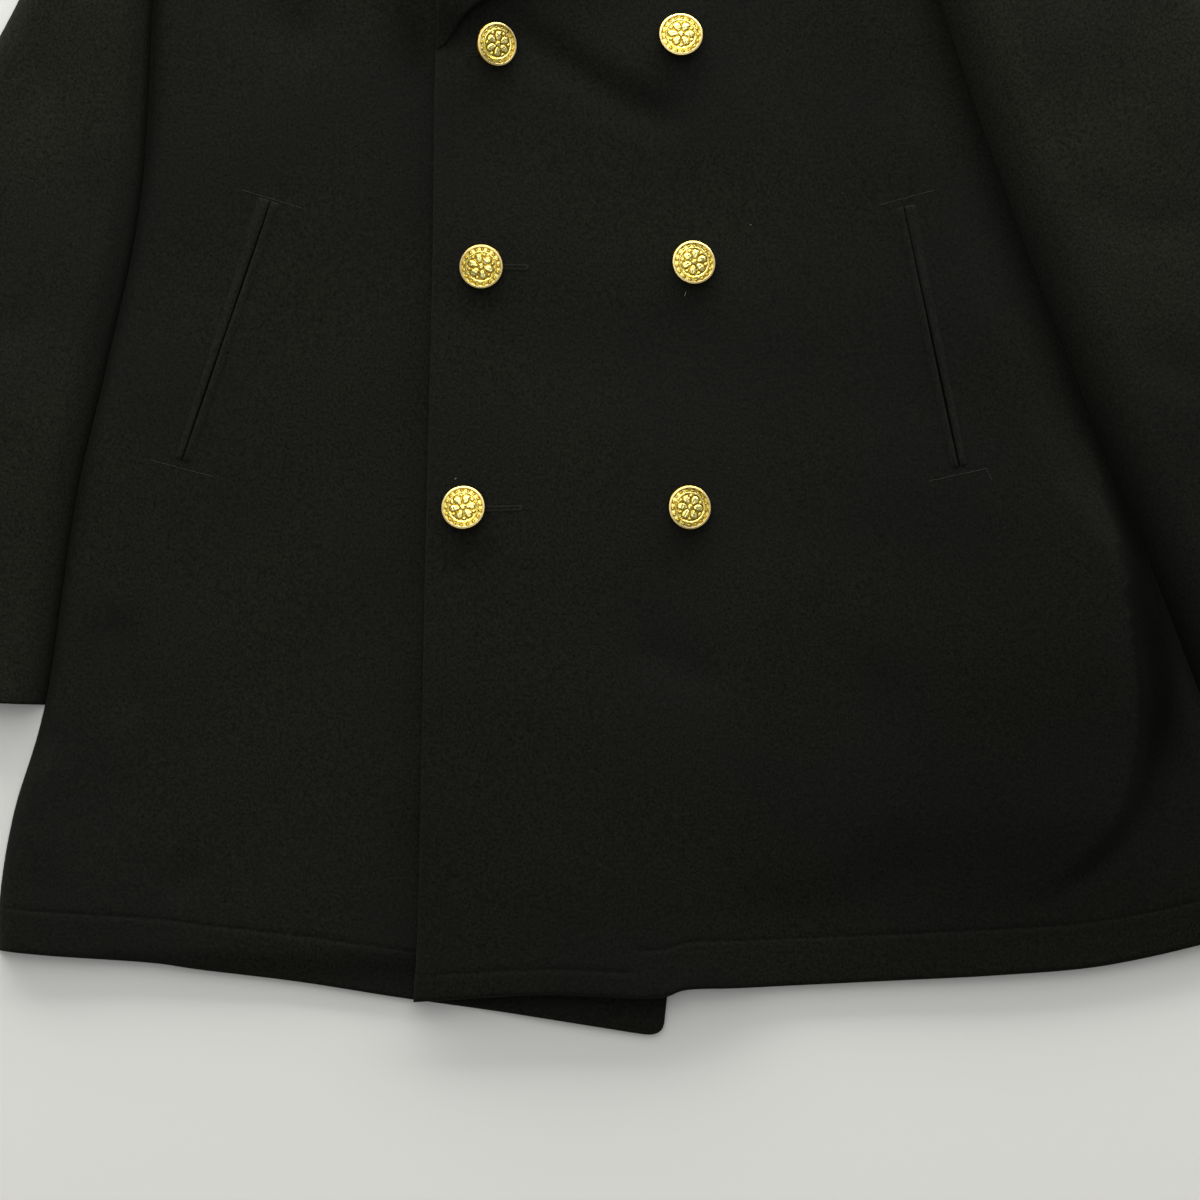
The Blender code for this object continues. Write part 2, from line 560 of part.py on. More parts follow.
def make_collar(under, material):
    """Band carried round the neck: stand, fold and fall. Behind the neck the fall lies under the
    stand, and it turns over to lie on the fronts at both sides."""
    rows = smooth_line(COLLAR_SECTIONS, 2)
    mirror = np.array([-1, 1, 1, 1, 1, 1, 1, -1, 1, -1, 1, 1, 1], float)
    other = rows[:0:-1] * mirror
    other[:, 3] = 180 - other[:, 3]
    side = np.concatenate([-np.ones(len(other)), np.ones(len(rows))])
    rows = np.vstack([other, rows])
    fold, turn, on_front = rows[:, :3].copy(), np.radians(rows[:, 4]), np.clip(rows[:, 12], 0, 1)
    point = np.radians(rows[:, 3])
    ahead = np.stack([np.cos(point), np.sin(point), 0 * point], 1)
    beside = np.stack([np.sin(point), -np.cos(point), 0 * point], 1) * side[:, None]
    on_leaf = fold - ahead * LEAF_IN
    lift = sample(under, on_leaf[:, 0], on_leaf[:, 1])
    lift += LAYER_GAP + COLLAR_WALL / 2 - COLLAR_FOLD_RADIUS
    fold[:, 2] = (1 - on_front) * fold[:, 2] + on_front * lift
    apart = beside * np.sin(turn)[:, None] - np.array([0, 0, 1]) * np.cos(turn)[:, None]
    base = fold - ahead * COLLAR_FOLD_RADIUS
    stand_end = base - apart * COLLAR_FOLD_RADIUS
    stand = stand_end - ahead * rows[:, 5:6]
    stand[:, 2] = np.where(on_front > 0.5, stand_end[:, 2], rows[:, 6])
    columns = [stand + (stand_end - stand) * share for share in (0.0, 0.35, 0.7)]
    for angle in np.radians([0, 45, 90, 135, 180]):
        columns.append(base + (ahead * np.sin(angle) - apart * np.cos(angle)) * COLLAR_FOLD_RADIUS)
    start, end = columns[-1], np.stack([rows[:, 9], rows[:, 10], rows[:, 11]], 1)
    middle = np.stack([rows[:, 7], rows[:, 8], (start[:, 2] + end[:, 2]) / 2], 1)
    control = 2 * middle - 0.5 * (start + end)
    for share in (0.15, 0.4, 0.7, 0.97, 1.0):
        p = (1 - share) ** 2 * start + 2 * share * (1 - share) * control + share ** 2 * end
        draped = sample(under, p[:, 0], p[:, 1]) + LAYER_GAP + COLLAR_WALL / 2
        p[:, 2] = (1 - on_front) * p[:, 2] + on_front * draped
        columns.append(p)
    middle_face = np.stack(columns, axis=1)
    outer = offset_inwards(middle_face, COLLAR_WALL / 2)
    inner = offset_inwards(middle_face, -COLLAR_WALL / 2)
    grid_body("collar", outer, inner, material)


# ---------------------------------------------------------------- the coat

def centre_on_origin():
    """Moves every mesh so that the middle of the coat's underside is the origin."""
    things = [thing for thing in bpy.data.objects if thing.type == "MESH"]
    corners = np.array([corner[:] for thing in things for corner in thing.bound_box])
    middle = (corners.min(axis=0) + corners.max(axis=0)) / 2
    for thing in things:
        thing.data.transform(Matrix.Translation((-middle[0], -middle[1], -corners[:, 2].min())))


def main():
    for thing in list(bpy.data.objects):
        bpy.data.objects.remove(thing)
    wool = make_material("wool_cloth", (0.011, 0.0115, 0.0105), 0.95, 0.0)
    brass = make_material("gilt_brass", (0.63, 0.42, 0.09), 0.25, 1.0)

    back_border = make_back(wool)
    back_top = np.where(inside(back_border), BACK_WALL, 0.0)

    right_grid = front_grid(RIGHT_EDGE, RIGHT_HEM, RIGHT_SIDE, RIGHT_ARMHOLE, mirrored(SHOULDER), 19, 12)
    right_top = spread(back_top + LAYER_GAP * (back_top > 0), SOFT_REACH) + FRONT_WALL
    right_top += RIGHT_LOFT * spread(inside(back_border) * 1.0, SOFT_REACH) + folds_height(RIGHT_FOLDS)
    make_front("front_right", right_grid, right_top, wool)
    right_cover = np.where(inside(border_of(right_grid[0])), right_top, back_top)

    lapel_under = spread(right_cover, CLOSE_REACH)
    outline = make_lapel("lapel_right", lapel_lines(RIGHT_EDGE, -1), lapel_under,
                         spread(back_top, CLOSE_REACH), RIGHT_LAPEL_START, wool)
    lapel_top = np.where(inside(outline), lapel_under + LAPEL_WALL + LAYER_GAP, right_cover)

    left_grid = front_grid(LEFT_EDGE, LEFT_HEM, LEFT_SIDE, LEFT_ARMHOLE, SHOULDER, 20, 18)
    covered = lapel_top + LAYER_GAP * (lapel_top > 0)
    left_top = spread(covered, STIFF_REACH) + FRONT_WALL + folds_height(LEFT_FOLDS)
    left_top += LEFT_LOFT * spread((right_cover > 0) * 1.0, STIFF_REACH)
    left_top += swelling(*SIDE_SWELL)
    make_front("front_left", left_grid, left_top, wool)
    left_cover = np.where(inside(border_of(left_grid[0])), left_top, lapel_top)

    make_lapel("lapel_left", lapel_lines(LEFT_EDGE, 1), spread(left_cover, CLOSE_REACH),
               spread(lapel_top, CLOSE_REACH), 0.0, wool)
    make_collar(spread(left_cover, SOFT_REACH), wool)

    make_sleeve("right", sleeve_inner_fold(right_grid[3], RIGHT_CUFF), smooth_line(RIGHT_SLEEVE_OUTER), wool)
    make_sleeve("left", sleeve_inner_fold(left_grid[3], LEFT_CUFF), smooth_line(LEFT_SLEEVE_OUTER), wool)

    for (name, top_end, low_end), cover in zip(POCKETS, (right_cover, left_cover)):
        make_jets(name, top_end, low_end, cover, wool)
    for name, x, y, tilt, facing in BUTTONS:
        make_button(name, x, y, tilt, facing, left_cover, brass)
    centre_on_origin()


main()
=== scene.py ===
# A double-breasted pea coat in near-black melton, laid flat on its back with the front up.
# Shapes are worked out on a plan in millimetres: x to the wearer's left, y from the hem to the
# collar, z up from the floor. onFrame moves them onto the frame and turns them to metres.

import math

import bpy
import numpy as np
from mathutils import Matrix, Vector


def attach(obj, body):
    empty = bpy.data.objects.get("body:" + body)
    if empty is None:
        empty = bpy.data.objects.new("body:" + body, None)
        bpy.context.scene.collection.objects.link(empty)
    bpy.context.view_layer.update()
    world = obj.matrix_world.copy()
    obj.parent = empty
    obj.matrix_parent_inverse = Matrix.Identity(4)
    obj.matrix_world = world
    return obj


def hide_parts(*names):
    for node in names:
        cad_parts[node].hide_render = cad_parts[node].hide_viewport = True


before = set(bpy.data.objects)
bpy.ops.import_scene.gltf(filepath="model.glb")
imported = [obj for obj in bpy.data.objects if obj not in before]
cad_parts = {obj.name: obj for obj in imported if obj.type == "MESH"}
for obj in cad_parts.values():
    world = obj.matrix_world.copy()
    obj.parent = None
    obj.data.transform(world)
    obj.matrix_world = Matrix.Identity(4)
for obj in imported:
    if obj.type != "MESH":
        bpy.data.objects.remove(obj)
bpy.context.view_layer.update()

toMetres = 0.001
planShift = np.array([-30.0, -422.85, 0.0])  # from the plan's zero to the frame's
seamGap = 0.3
layerGap = 0.8
thinnest = 0.02  # least wall of a shell, and least height of its lower face
seamHeight = 9.5  # height at which a sleeve meets the body round the armhole
seamRound = 3.0  # wall that both sides of that seam are rounded for
armholeStart = (580, 640)  # y over which the side's free fold turns into the armhole's seam
bodyLength = 800
edgeShare = 0.42  # most of a width that the set distances or the roll at one edge may take
facingWidth = 124.0  # the doubled strip inside a front edge
farOff = 60.0  # added to a distance where the edge it is measured from no longer counts

# camera straight above, as the coat lies flat; a large soft box stands beyond the collar, and a low
# one behind it draws the long soft shadow under the hem
shot = {
    "camera": (14.2, 227.8, 3425.0), "lens": 180.0,
    "floor": (4.5, -0.0004),  # half of its side, and its height, in metres
    "world": ("#F4F4F0", 0.20),
    "aim": (14.0, 228.0, 0.0),  # the point that every light faces
    "lights": [  # place, width, depth, watts, colour
        ((-250.0, 1700.0, 1350.0), 2.0, 2.0, 21.5, "#FFFEFA"),
        ((100.0, 3342.0, 660.0), 7.0, 1.3, 262.0, "#FFFEFA"),
        ((14.0, 500.0, 3700.0), 3.0, 3.0, 32.0, "#FFFFFF"),
        ((-2200.0, 100.0, 620.0), 3.0, 1.1, 5.0, "#FFFFFF"),
        ((2200.0, 300.0, 620.0), 3.0, 1.1, 5.0, "#FFFFFF"),
        ((14.0, -2000.0, 620.0), 3.0, 1.1, 3.5, "#FFFFFF"),
    ],
}


def onFrame(points):
    # the plan's millimetres moved to the frame's zero and turned to metres
    return (np.asarray(points, float) + planShift) * toMetres


def hexColour(code):
    # each sRGB channel over 255, with the sRGB curve undone
    parts = [int(code[k:k + 2], 16) / 255 for k in (1, 3, 5)]
    return tuple(c / 12.92 if c <= 0.04045 else ((c + 0.055) / 1.055) ** 2.4 for c in parts) + (1.0,)


def addNode(tree, kind, inputs=None, **settings):
    # one shader node; an input is a number, a colour's code, or (node, output) where it is linked
    node = tree.nodes.new("ShaderNode" + kind)
    for key, value in settings.items():
        setattr(node, key, value)
    for key, value in (inputs or {}).items():
        if isinstance(value, tuple) and isinstance(value[0], bpy.types.Node):
            tree.links.new(value[0].outputs[value[1]], node.inputs[key])
        else:
            node.inputs[key].default_value = hexColour(value) if isinstance(value, str) else value
    return node


def newMaterial(name):
    # an empty material with the node that gives the place on the object
    material = bpy.data.materials.new(name)
    material.use_nodes = True
    material.node_tree.nodes.clear()
    return material, material.node_tree, addNode(material.node_tree, "TexCoord")


def makeMottled(name, dark, light, scale, roughness, level):
    # plain matt stuff that drifts between two tones by a noise; level is its specular level
    material, tree, place = newMaterial(name)
    noise = addNode(tree, "TexNoise", {"Vector": (place, "Object"), "Scale": scale})
    tone = addNode(tree, "Mix", {0: (noise, "Fac"), 6: dark, 7: light}, data_type="RGBA")
    shader = addNode(tree, "BsdfPrincipled", {
        "Base Color": (tone, 2), "Roughness": roughness, "Specular IOR Level": level})
    addNode(tree, "OutputMaterial", {"Surface": (shader, "BSDF")})
    return material


def addToScene(name, data):
    # an object that holds the data
    holder = bpy.data.objects.new(name, data)
    bpy.context.scene.collection.objects.link(holder)
    return holder


def makeStage():
    # camera, even sky, soft boxes turned towards one point, and the floor
    scene = bpy.context.scene
    scene.view_settings.view_transform = "Standard"
    camera = bpy.data.cameras.new("camera")
    camera.lens, camera.sensor_width = shot["lens"], 36.0
    camera.clip_start, camera.clip_end = 0.02, 40.0
    scene.camera = addToScene("camera", camera)
    scene.camera.location = onFrame(shot["camera"])

    scene.world = bpy.data.worlds.new("studio")
    scene.world.use_nodes = True
    sky = scene.world.node_tree.nodes["Background"].inputs
    sky["Color"].default_value = hexColour(shot["world"][0])
    sky["Strength"].default_value = shot["world"][1]

    for k, (place, width, depth, watts, colour) in enumerate(shot["lights"]):
        lamp = bpy.data.lights.new("softLight%d" % k, "AREA")
        lamp.shape = "RECTANGLE"
        lamp.size, lamp.size_y, lamp.energy = width, depth, watts
        lamp.color = hexColour(colour)[:3]
        holder = addToScene(lamp.name, lamp)
        holder.location = onFrame(place)
        holder.rotation_mode = "QUATERNION"
        holder.rotation_quaternion = Vector(np.array(shot["aim"]) - place).to_track_quat("-Z", "Y")

    half, level = shot["floor"]
    corners = [(-half, -half), (half, -half), (half, half), (-half, half)]
    mesh = bpy.data.meshes.new("floor")
    mesh.from_pydata([(x, y, level) for x, y in corners], [], [(0, 1, 2, 3)])
    # background paper: warm-white, matt, with a very slight unevenness of tone
    mesh.materials.append(makeMottled("floorPaper", "#E4E4E2", "#DDDDDB", 1.3, 0.9, 0.2))
    addToScene("floor", mesh)


makeStage()
print("stage set")

# melton: wool, woven, milled and raised until the nap hides the weave; so no gloss, a dry dark
# surface with a soft pale bloom at grazing angles and a fine matted grain
melton = {
    "dark": "#090A08", "light": "#1C1D17", "faded": "#141416", "bloom": "#DADAC8",
    "pressed": 0.80,  # how much darker the painted shade makes the cloth at most
    "napSize": 1.35,  # mm across one tuft of the nap
    "feltSize": 4.0,  # mm across one matted clump
    "patchSize": 120.0,  # mm across one slightly faded patch
    "fading": 0.30,  # how far such a patch goes towards the faded tone
    "grain": 1.25,  # how much longer than wide a tuft is
    "napDepth": 0.35, "feltDepth": 0.30,  # mm
}


def makeMelton(name, turn, lift):
    # colour: dark to light by the nap's height, a little towards faded by slow patches, and darker by
    # the painted shade that the per-vertex attribute carries. Bump: the nap's fine noise over the felt's
    # coarser noise. turn is the grain's angle in degrees, and lift is how much lighter the colour is painted:
    # painted light for the nap's way and for how brightly that part is lit
    m = melton
    material, tree, place = newMaterial(name)
    along = addNode(tree, "Mapping", {
        "Vector": (place, "Object"), "Rotation": (0, 0, math.radians(turn)), "Scale": (1, 1 / m["grain"], 1)})
    nap = addNode(tree, "TexNoise", {
        "Vector": (along, "Vector"), "Scale": 1000 / m["napSize"], "Detail": 3.0, "Roughness": 0.65})
    felt = addNode(tree, "TexNoise", {
        "Vector": (place, "Object"), "Scale": 1000 / m["feltSize"], "Detail": 3.0, "Roughness": 0.6})
    patch = addNode(tree, "TexNoise", {"Vector": (place, "Object"), "Scale": 1000 / m["patchSize"]})
    napStep = addNode(tree, "MapRange", {"Value": (nap, "Fac"), "From Min": 0.30, "From Max": 0.70})
    low, high = ([c * lift for c in hexColour(m[key])[:3]] + [1.0] for key in ("dark", "light"))
    wool = addNode(tree, "Mix", {0: (napStep, "Result"), 6: low, 7: high}, data_type="RGBA")
    patchStep = addNode(tree, "MapRange", {
        "Value": (patch, "Fac"), "From Min": 0.42, "From Max": 0.62, "To Max": m["fading"]})
    worn = addNode(tree, "Mix", {0: (patchStep, "Result"), 6: (wool, 2), 7: m["faded"]}, data_type="RGBA")
    # painted shade: the attribute darkens the colour towards black where shade falls, in valleys and beside
    # folds and seams
    pressed = addNode(tree, "Attribute", attribute_name="pressed")
    amount = addNode(tree, "MapRange", {"Value": (pressed, "Fac"), "To Max": m["pressed"]})
    shaded = addNode(tree, "Mix", {0: (amount, "Result"), 6: (worn, 2), 7: "#000000"}, data_type="RGBA")
    coarse = addNode(tree, "Bump", {
        "Height": (felt, "Fac"), "Strength": 0.6, "Distance": m["feltDepth"] * toMetres})
    fine = addNode(tree, "Bump", {
        "Height": (nap, "Fac"), "Strength": 0.8, "Distance": m["napDepth"] * toMetres,
        "Normal": (coarse, "Normal")})
    cloth = addNode(tree, "BsdfPrincipled", {
        "Base Color": (shaded, 2), "Roughness": 0.92, "IOR": 1.5, "Specular IOR Level": 0.06,
        "Sheen Weight": 0.02, "Sheen Roughness": 0.45, "Sheen Tint": m["bloom"],
        "Normal": (fine, "Normal")})
    addNode(tree, "OutputMaterial", {"Surface": (cloth, "BSDF")})
    return material


def makeThread(name, dark, lit, gloss):
    # mercerised cotton, twisted; the colour is painted lighter along the twist's ridges, a painted highlight
    # along its strands
    material, tree, place = newMaterial(name)
    twist = addNode(
        tree, "TexWave", {"Vector": (place, "Object"), "Scale": 700.0, "Distortion": 1.5},
        bands_direction="DIAGONAL")
    ridge = addNode(tree, "Bump", {"Height": (twist, "Fac"), "Strength": 0.5, "Distance": 0.0001})
    base = addNode(tree, "Mix", {0: (twist, "Fac"), 6: dark, 7: lit}, data_type="RGBA")
    strand = addNode(tree, "BsdfPrincipled", {
        "Base Color": (base, 2), "Roughness": gloss, "IOR": 1.53, "Specular IOR Level": 0.12,
        "Normal": (ridge, "Normal")})
    addNode(tree, "OutputMaterial", {"Surface": (strand, "BSDF")})
    return material


def makeGilt():
    # stamped brass, gilded and polished: pale on the worn rim, yellow on what stands proud, amber lacquer
    # round it, brown tarnish in the hollows and dark brown painted shade on the rim's outer side; the
    # attribute depth runs from 0 to 1 through them
    material, tree, place = newMaterial("giltBrass")
    depth = addNode(tree, "Attribute", attribute_name="depth")
    smear = addNode(tree, "TexNoise", {"Vector": (place, "Object"), "Scale": 420.0, "Detail": 3.0})
    tarnish = addNode(tree, "Math", {0: (smear, "Fac"), 1: 0.55, 2: -0.275}, operation="MULTIPLY_ADD")
    total = addNode(tree, "Math", {0: (depth, "Fac"), 1: (tarnish, "Value")}, operation="ADD")
    tone = addNode(tree, "ValToRGB", {"Fac": (total, "Value")})
    stops = tone.color_ramp.elements
    stops[0].position, stops[0].color = 0.05, hexColour("#DCCB98")
    stops[1].position, stops[1].color = 0.95, hexColour("#4E2C02")
    for share, code in ((0.30, "#FBF092"), (0.55, "#D4AC36")):
        stops.new(share).color = hexColour(code)
    satin = addNode(tree, "MapRange", {
        "Value": (depth, "Fac"), "From Max": 0.2, "To Min": 0.48, "To Max": 0.24})
    ripple = addNode(tree, "Bump", {"Height": (smear, "Fac"), "Strength": 0.2, "Distance": 0.0002})
    metal = addNode(tree, "BsdfPrincipled", {
        "Base Color": (tone, "Color"), "Metallic": 1.0, "Roughness": (satin, "Result"),
        "Normal": (ripple, "Normal")})
    addNode(tree, "OutputMaterial", {"Surface": (metal, "BSDF")})
    return material


# the last number, lift, is painted light: copies of one cloth made lighter or darker to match how brightly
# each part is lit
bodyWool = makeMelton("meltonBody", 0.0, 1.10)
sleeveWool = {"left": makeMelton("meltonLeftSleeve", -22.0, 1.36),
              "right": makeMelton("meltonRightSleeve", 15.0, 1.32)}
turnedWool = makeMelton("meltonTurnedBack", 38.0, 1.0)
jetWool = {"right": makeMelton("meltonRightJets", 75.0, 1.28),
           "left": makeMelton("meltonLeftJets", 75.0, 1.06)}
blackThread = makeThread("blackThread", "#0A0B09", "#151611", 0.8)
# a lighter thread, for the facing's row
lighterThread = makeThread("lighterFacingThread", "#1C1D18", "#34342C", 0.7)
worksThread = makeThread("buttonholeTwist", "#11120E", "#24251F", 0.7)
barThread = makeThread("barThread", "#1A1B16", "#31322B", 0.6)
gilt = makeGilt()
# pocketing painted near black: the painted shadow deep inside a pocket, which shows in the slit
shadedPocketing = makeMottled("paintedShadowPocketing", "#020202", "#0B0C09", 1500.0, 1.0, 0.0)
# loose wool and dust: pale, dull and a little uneven
paleFibre = makeMottled("paleFibre", "#8C8A80", "#C9C6BA", 900.0, 0.8, 0.5)
print("materials made")


def smoothLine(points, steps=10):
    # Catmull-Rom: each span is a cubic through its ends, with slopes from the points on both sides
    p = np.array(points, float)
    p = np.vstack([2 * p[0] - p[1], p, 2 * p[-1] - p[-2]])
    u = np.linspace(0, 1, steps, endpoint=False)[:, None]
    spans = [0.5 * (2 * b + (c - a) * u + (2 * a - 5 * b + 4 * c - d) * u ** 2
                    + (3 * b - a - 3 * c + d) * u ** 3)
             for a, b, c, d in zip(p[:-3], p[1:-2], p[2:-1], p[3:])]
    return np.vstack(spans + [p[-2:-1]])


def runOf(line):
    # distance along a line at each of its points
    return np.concatenate([[0], np.cumsum(np.linalg.norm(np.diff(line, axis=0), axis=1))])


def atShare(line, share):
    # points at shares 0 to 1 of a line's length
    run = runOf(line)
    at = np.asarray(share) * run[-1]
    return np.stack([np.interp(at, run, line[:, k]) for k in range(line.shape[1])], axis=-1)


def sideways(ways):
    # unit vectors to the left of the given ways
    return np.stack([-ways[:, 1], ways[:, 0]], axis=1) / np.linalg.norm(ways, axis=1, keepdims=True)


def wayAt(angle):
    # unit vector at an angle from x
    return np.stack([np.cos(angle), np.sin(angle)], axis=-1)


def movedAside(line, distance):
    # each point moved to the left of the way the line runs, by the distance there
    aside = sideways(np.gradient(line[:, :2], axis=0))
    return line[:, :2] + aside * (distance * np.ones(len(line)))[:, None]


def smoothStep(low, high, value):
    # 0 below low, 1 above high, 3u^2 - 2u^3 between
    u = np.clip((np.asarray(value, float) - low) / (high - low), 0, 1)
    return u * u * (3 - 2 * u)


def bell(distance, width):
    # exp(-(distance / width)^2)
    return np.exp(-(distance / width) ** 2)


def quarter(distance, radius):
    # quarter round: 0 at an edge, rising as a circle to 1 at the radius
    u = 1 - np.clip(distance / radius, 0, 1)
    return np.sqrt(np.clip(1 - u * u, 0, 1))


def slopedRound(distance, radius, slope):
    # between the quarter round and the parabola 1 - (1 - u)^2, which falls evenly over the whole radius
    u = 1 - np.clip(distance / radius, 0, 1)
    return (1 - slope) * quarter(distance, radius) + slope * (1 - u * u)


# the map of heights that the layers are draped on, one number for each cell of the plan
mapCell = 2.5
mapX, mapY = np.meshgrid(np.arange(-520.0, 580.0, mapCell), np.arange(-60.0, 920.0, mapCell))


def insideLine(line):
    # even-odd rule: inside where a level ray from the cell crosses the closed line an odd number of times
    found = np.zeros(mapX.shape, bool)
    for (x0, y0), (x1, y1) in zip(line, np.roll(line, -1, axis=0)):
        if y0 != y1:
            crosses = (y0 > mapY) != (y1 > mapY)
            found ^= crosses & (mapX < (x1 - x0) * (mapY - y0) / (y1 - y0) + x0)
    return found


def drapeOver(height, reach):
    # stiff cloth: each cell takes the highest cell within reach, and then the mean over half of it
    cells = max(1, int(round(reach / mapCell)))
    half = max(1, cells // 2)
    for axis in (0, 1):
        height = np.max([np.roll(height, k, axis) for k in range(-cells, cells + 1)], axis=0)
    for axis in (0, 1, 0, 1):
        height = np.mean([np.roll(height, k, axis) for k in range(-half, half + 1)], axis=0)
    return height


def onMap(height, x, y):
    # height between the four nearest cells, by the share of the way to each
    u = np.clip((np.asarray(x) - mapX[0, 0]) / mapCell, 0, height.shape[1] - 1.001)
    v = np.clip((np.asarray(y) - mapY[0, 0]) / mapCell, 0, height.shape[0] - 1.001)
    i, j = u.astype(int), v.astype(int)
    fu, fv = u - i, v - j
    low, high = (height[k, i] * (1 - fu) + height[k, i + 1] * fu for k in (j, j + 1))
    return low * (1 - fv) + high * fv


def nearPath(x, y, path):
    # distance to the nearest point of a path, that point's share of the way along, and the side; a
    # path runs down the coat, so a positive side is the wearer's left
    line = smoothLine(path, 8)
    nearest = np.full(x.shape, 1e9)
    share, side = np.zeros(x.shape), np.zeros(x.shape)
    for k, ((px, py), (dx, dy)) in enumerate(zip(line[:-1], np.diff(line, axis=0))):
        u = np.clip(((x - px) * dx + (y - py) * dy) / (dx * dx + dy * dy), 0, 1)
        away = np.hypot(x - px - u * dx, y - py - u * dy)
        closer = away < nearest
        nearest = np.where(closer, away, nearest)
        share = np.where(closer, (k + u) / (len(line) - 1), share)
        side = np.where(closer, dx * (y - py) - dy * (x - px), side)
    return nearest, share, side


def endsFade(share):
    # 1 along a path, easing to 0 over the last three tenths at both ends
    return smoothStep(0, 0.3, share) * smoothStep(0, 0.3, 1 - share)


def foldsOn(x, y, folds):
    # sum of ridges and troughs along paths: height times exp(-(distance / width)^2), the ends faded
    total = np.zeros(np.shape(x))
    for path, height, leftWidth, rightWidth in folds:
        nearest, share, side = nearPath(x, y, path)
        total += height * bell(nearest, np.where(side > 0, leftWidth, rightWidth)) * endsFade(share)
    return total


def hipAt(x, y, hip):
    # cloth that stands off the layers over the hip: a slow ramp towards the side, cut off along a
    # sharp fold: 1 inside it, falling as exp(-(distance / fall)^2) outside, with a trough at its foot
    nearest, share, side = nearPath(x, y, hip["edge"])
    ramp = smoothStep(*hip["across"], x) * smoothStep(*hip["low"], y) * smoothStep(*hip["high"], y)
    outside = (side > 0) * endsFade(share)
    drop = outside * (1 - bell(nearest, hip["fall"]))
    trough = outside * bell(nearest - hip["footAt"], hip["fall"])
    return hip["height"] * ramp * (1 - drop) - hip["trough"] * trough


def unevenness(x, y, seed, size, length):
    # slow rolling of cloth that lies loose: seven sine waves with set directions and phases
    rng = np.random.default_rng(seed)
    total = np.zeros(np.shape(x))
    for angle, phase, stretch in rng.uniform((0, 0, 0.6), (math.pi, 2 * math.pi, 1.6), (7, 3)):
        run = x * math.cos(angle) + y * math.sin(angle)
        total += np.sin(run * 2 * math.pi / (length * stretch) + phase)
    return total * size / 2.6


def coonsPatch(bottom, top, left, right, s, t):
    # Coons patch: the two ruled surfaces between opposite lines added, less the one between the corners
    c0, c1 = atShare(bottom, s), atShare(top, s)
    d0, d1 = atShare(left, t), atShare(right, t)
    s, t = s[..., None], t[..., None]
    low, high = ((1 - s) * line[0] + s * line[-1] for line in (bottom, top))
    return (1 - t) * (c0 - low) + t * (c1 - high) + (1 - s) * d0 + s * d1


def sharesFor(width, nearStart, middle, nearEnd):
    # shares across each width: set distances in from both edges, even steps between them
    width = np.asarray(width, float)[:, None]
    scale = np.minimum(1, edgeShare * width / max(max(nearStart), max(nearEnd)))
    first = np.array(nearStart)[None] * scale / width
    last = 1 - np.array(nearEnd)[::-1][None] * scale / width
    step = np.linspace(0, 1, middle + 2)[1:-1][None]
    return np.hstack([first, first[:, -1:] + (last[:, :1] - first[:, -1:]) * step, last])


def patchGrid(bottom, top, left, right, length, rows, columns, start=0.0):
    # Coons patch whose rows and columns keep set distances near its edges, so that seams can follow
    # them; start is the share at its lower end that is left out. Returns the plan, and the distances of
    # each point from the left, right, bottom and top
    up = start + (1 - start) * sharesFor([length], *rows)[0]
    width = np.linalg.norm(atShare(right, up) - atShare(left, up), axis=1)
    s = sharesFor(width, *columns)
    t = np.repeat(up[:, None], s.shape[1], axis=1)
    away = s * width[:, None], (1 - s) * width[:, None], t * length, (1 - t) * length
    return coonsPatch(bottom, top, left, right, s, t), away


def offsetAlongNormals(grid, wall):
    # the other face of a wall: each point moved in by the wall along the grid's own normal
    normal = np.cross(np.gradient(grid, axis=1), np.gradient(grid, axis=0))
    normal /= np.maximum(np.linalg.norm(normal, axis=2, keepdims=True), 1e-9)
    normal *= np.sign(normal[..., 2:3].sum())
    return grid - np.asarray(wall)[..., None] * normal


def panelFaces(grid, wall, upper, lift, pinned, least=thinnest):
    # outer face: the grid at the height upper. Inner face: the grid moved in by its wall, but not below
    # least, then raised by lift and kept under the outer face; the pinned borders keep the grid's plan
    inner = offsetAlongNormals(grid, wall)
    inner[..., 2] = np.maximum(inner[..., 2], least)
    for border in pinned:
        inner[border][..., :2] = grid[border][..., :2]
    outer = np.dstack([grid[..., :2], np.maximum(upper, 2 * thinnest)])
    inner[..., 2] = np.minimum(inner[..., 2] + lift, outer[..., 2] - thinnest)
    return outer, inner


def borderOf(grid):
    # the grid's border points in order round it
    return np.vstack([grid[0], grid[1:, -1], grid[-1, -2::-1], grid[-2:0:-1, 0]])


def makeMesh(name, points, faces, material, replaced=()):
    # faces turned outwards where the volume they enclose comes out negative
    if isinstance(faces, np.ndarray):
        a, b, c, d = (points[faces[:, k]] for k in range(4))
        volume = (a * (np.cross(b, c) + np.cross(c, d))).sum()
        faces = (faces[:, ::-1] if volume < 0 else faces).tolist()
    mesh = bpy.data.meshes.new(name)
    mesh.from_pydata(onFrame(points).tolist(), [], faces)
    mesh.materials.append(material)
    mesh.shade_smooth()
    piece = addToScene(name, mesh)
    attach(piece, "root")
    if replaced:
        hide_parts(*replaced)
    return piece


def setAttribute(piece, name, values):
    # one number for each vertex, which the material reads
    data = piece.data.attributes.new(name, "FLOAT", "POINT").data
    data.foreach_set("value", np.ravel(values).astype(np.float32))


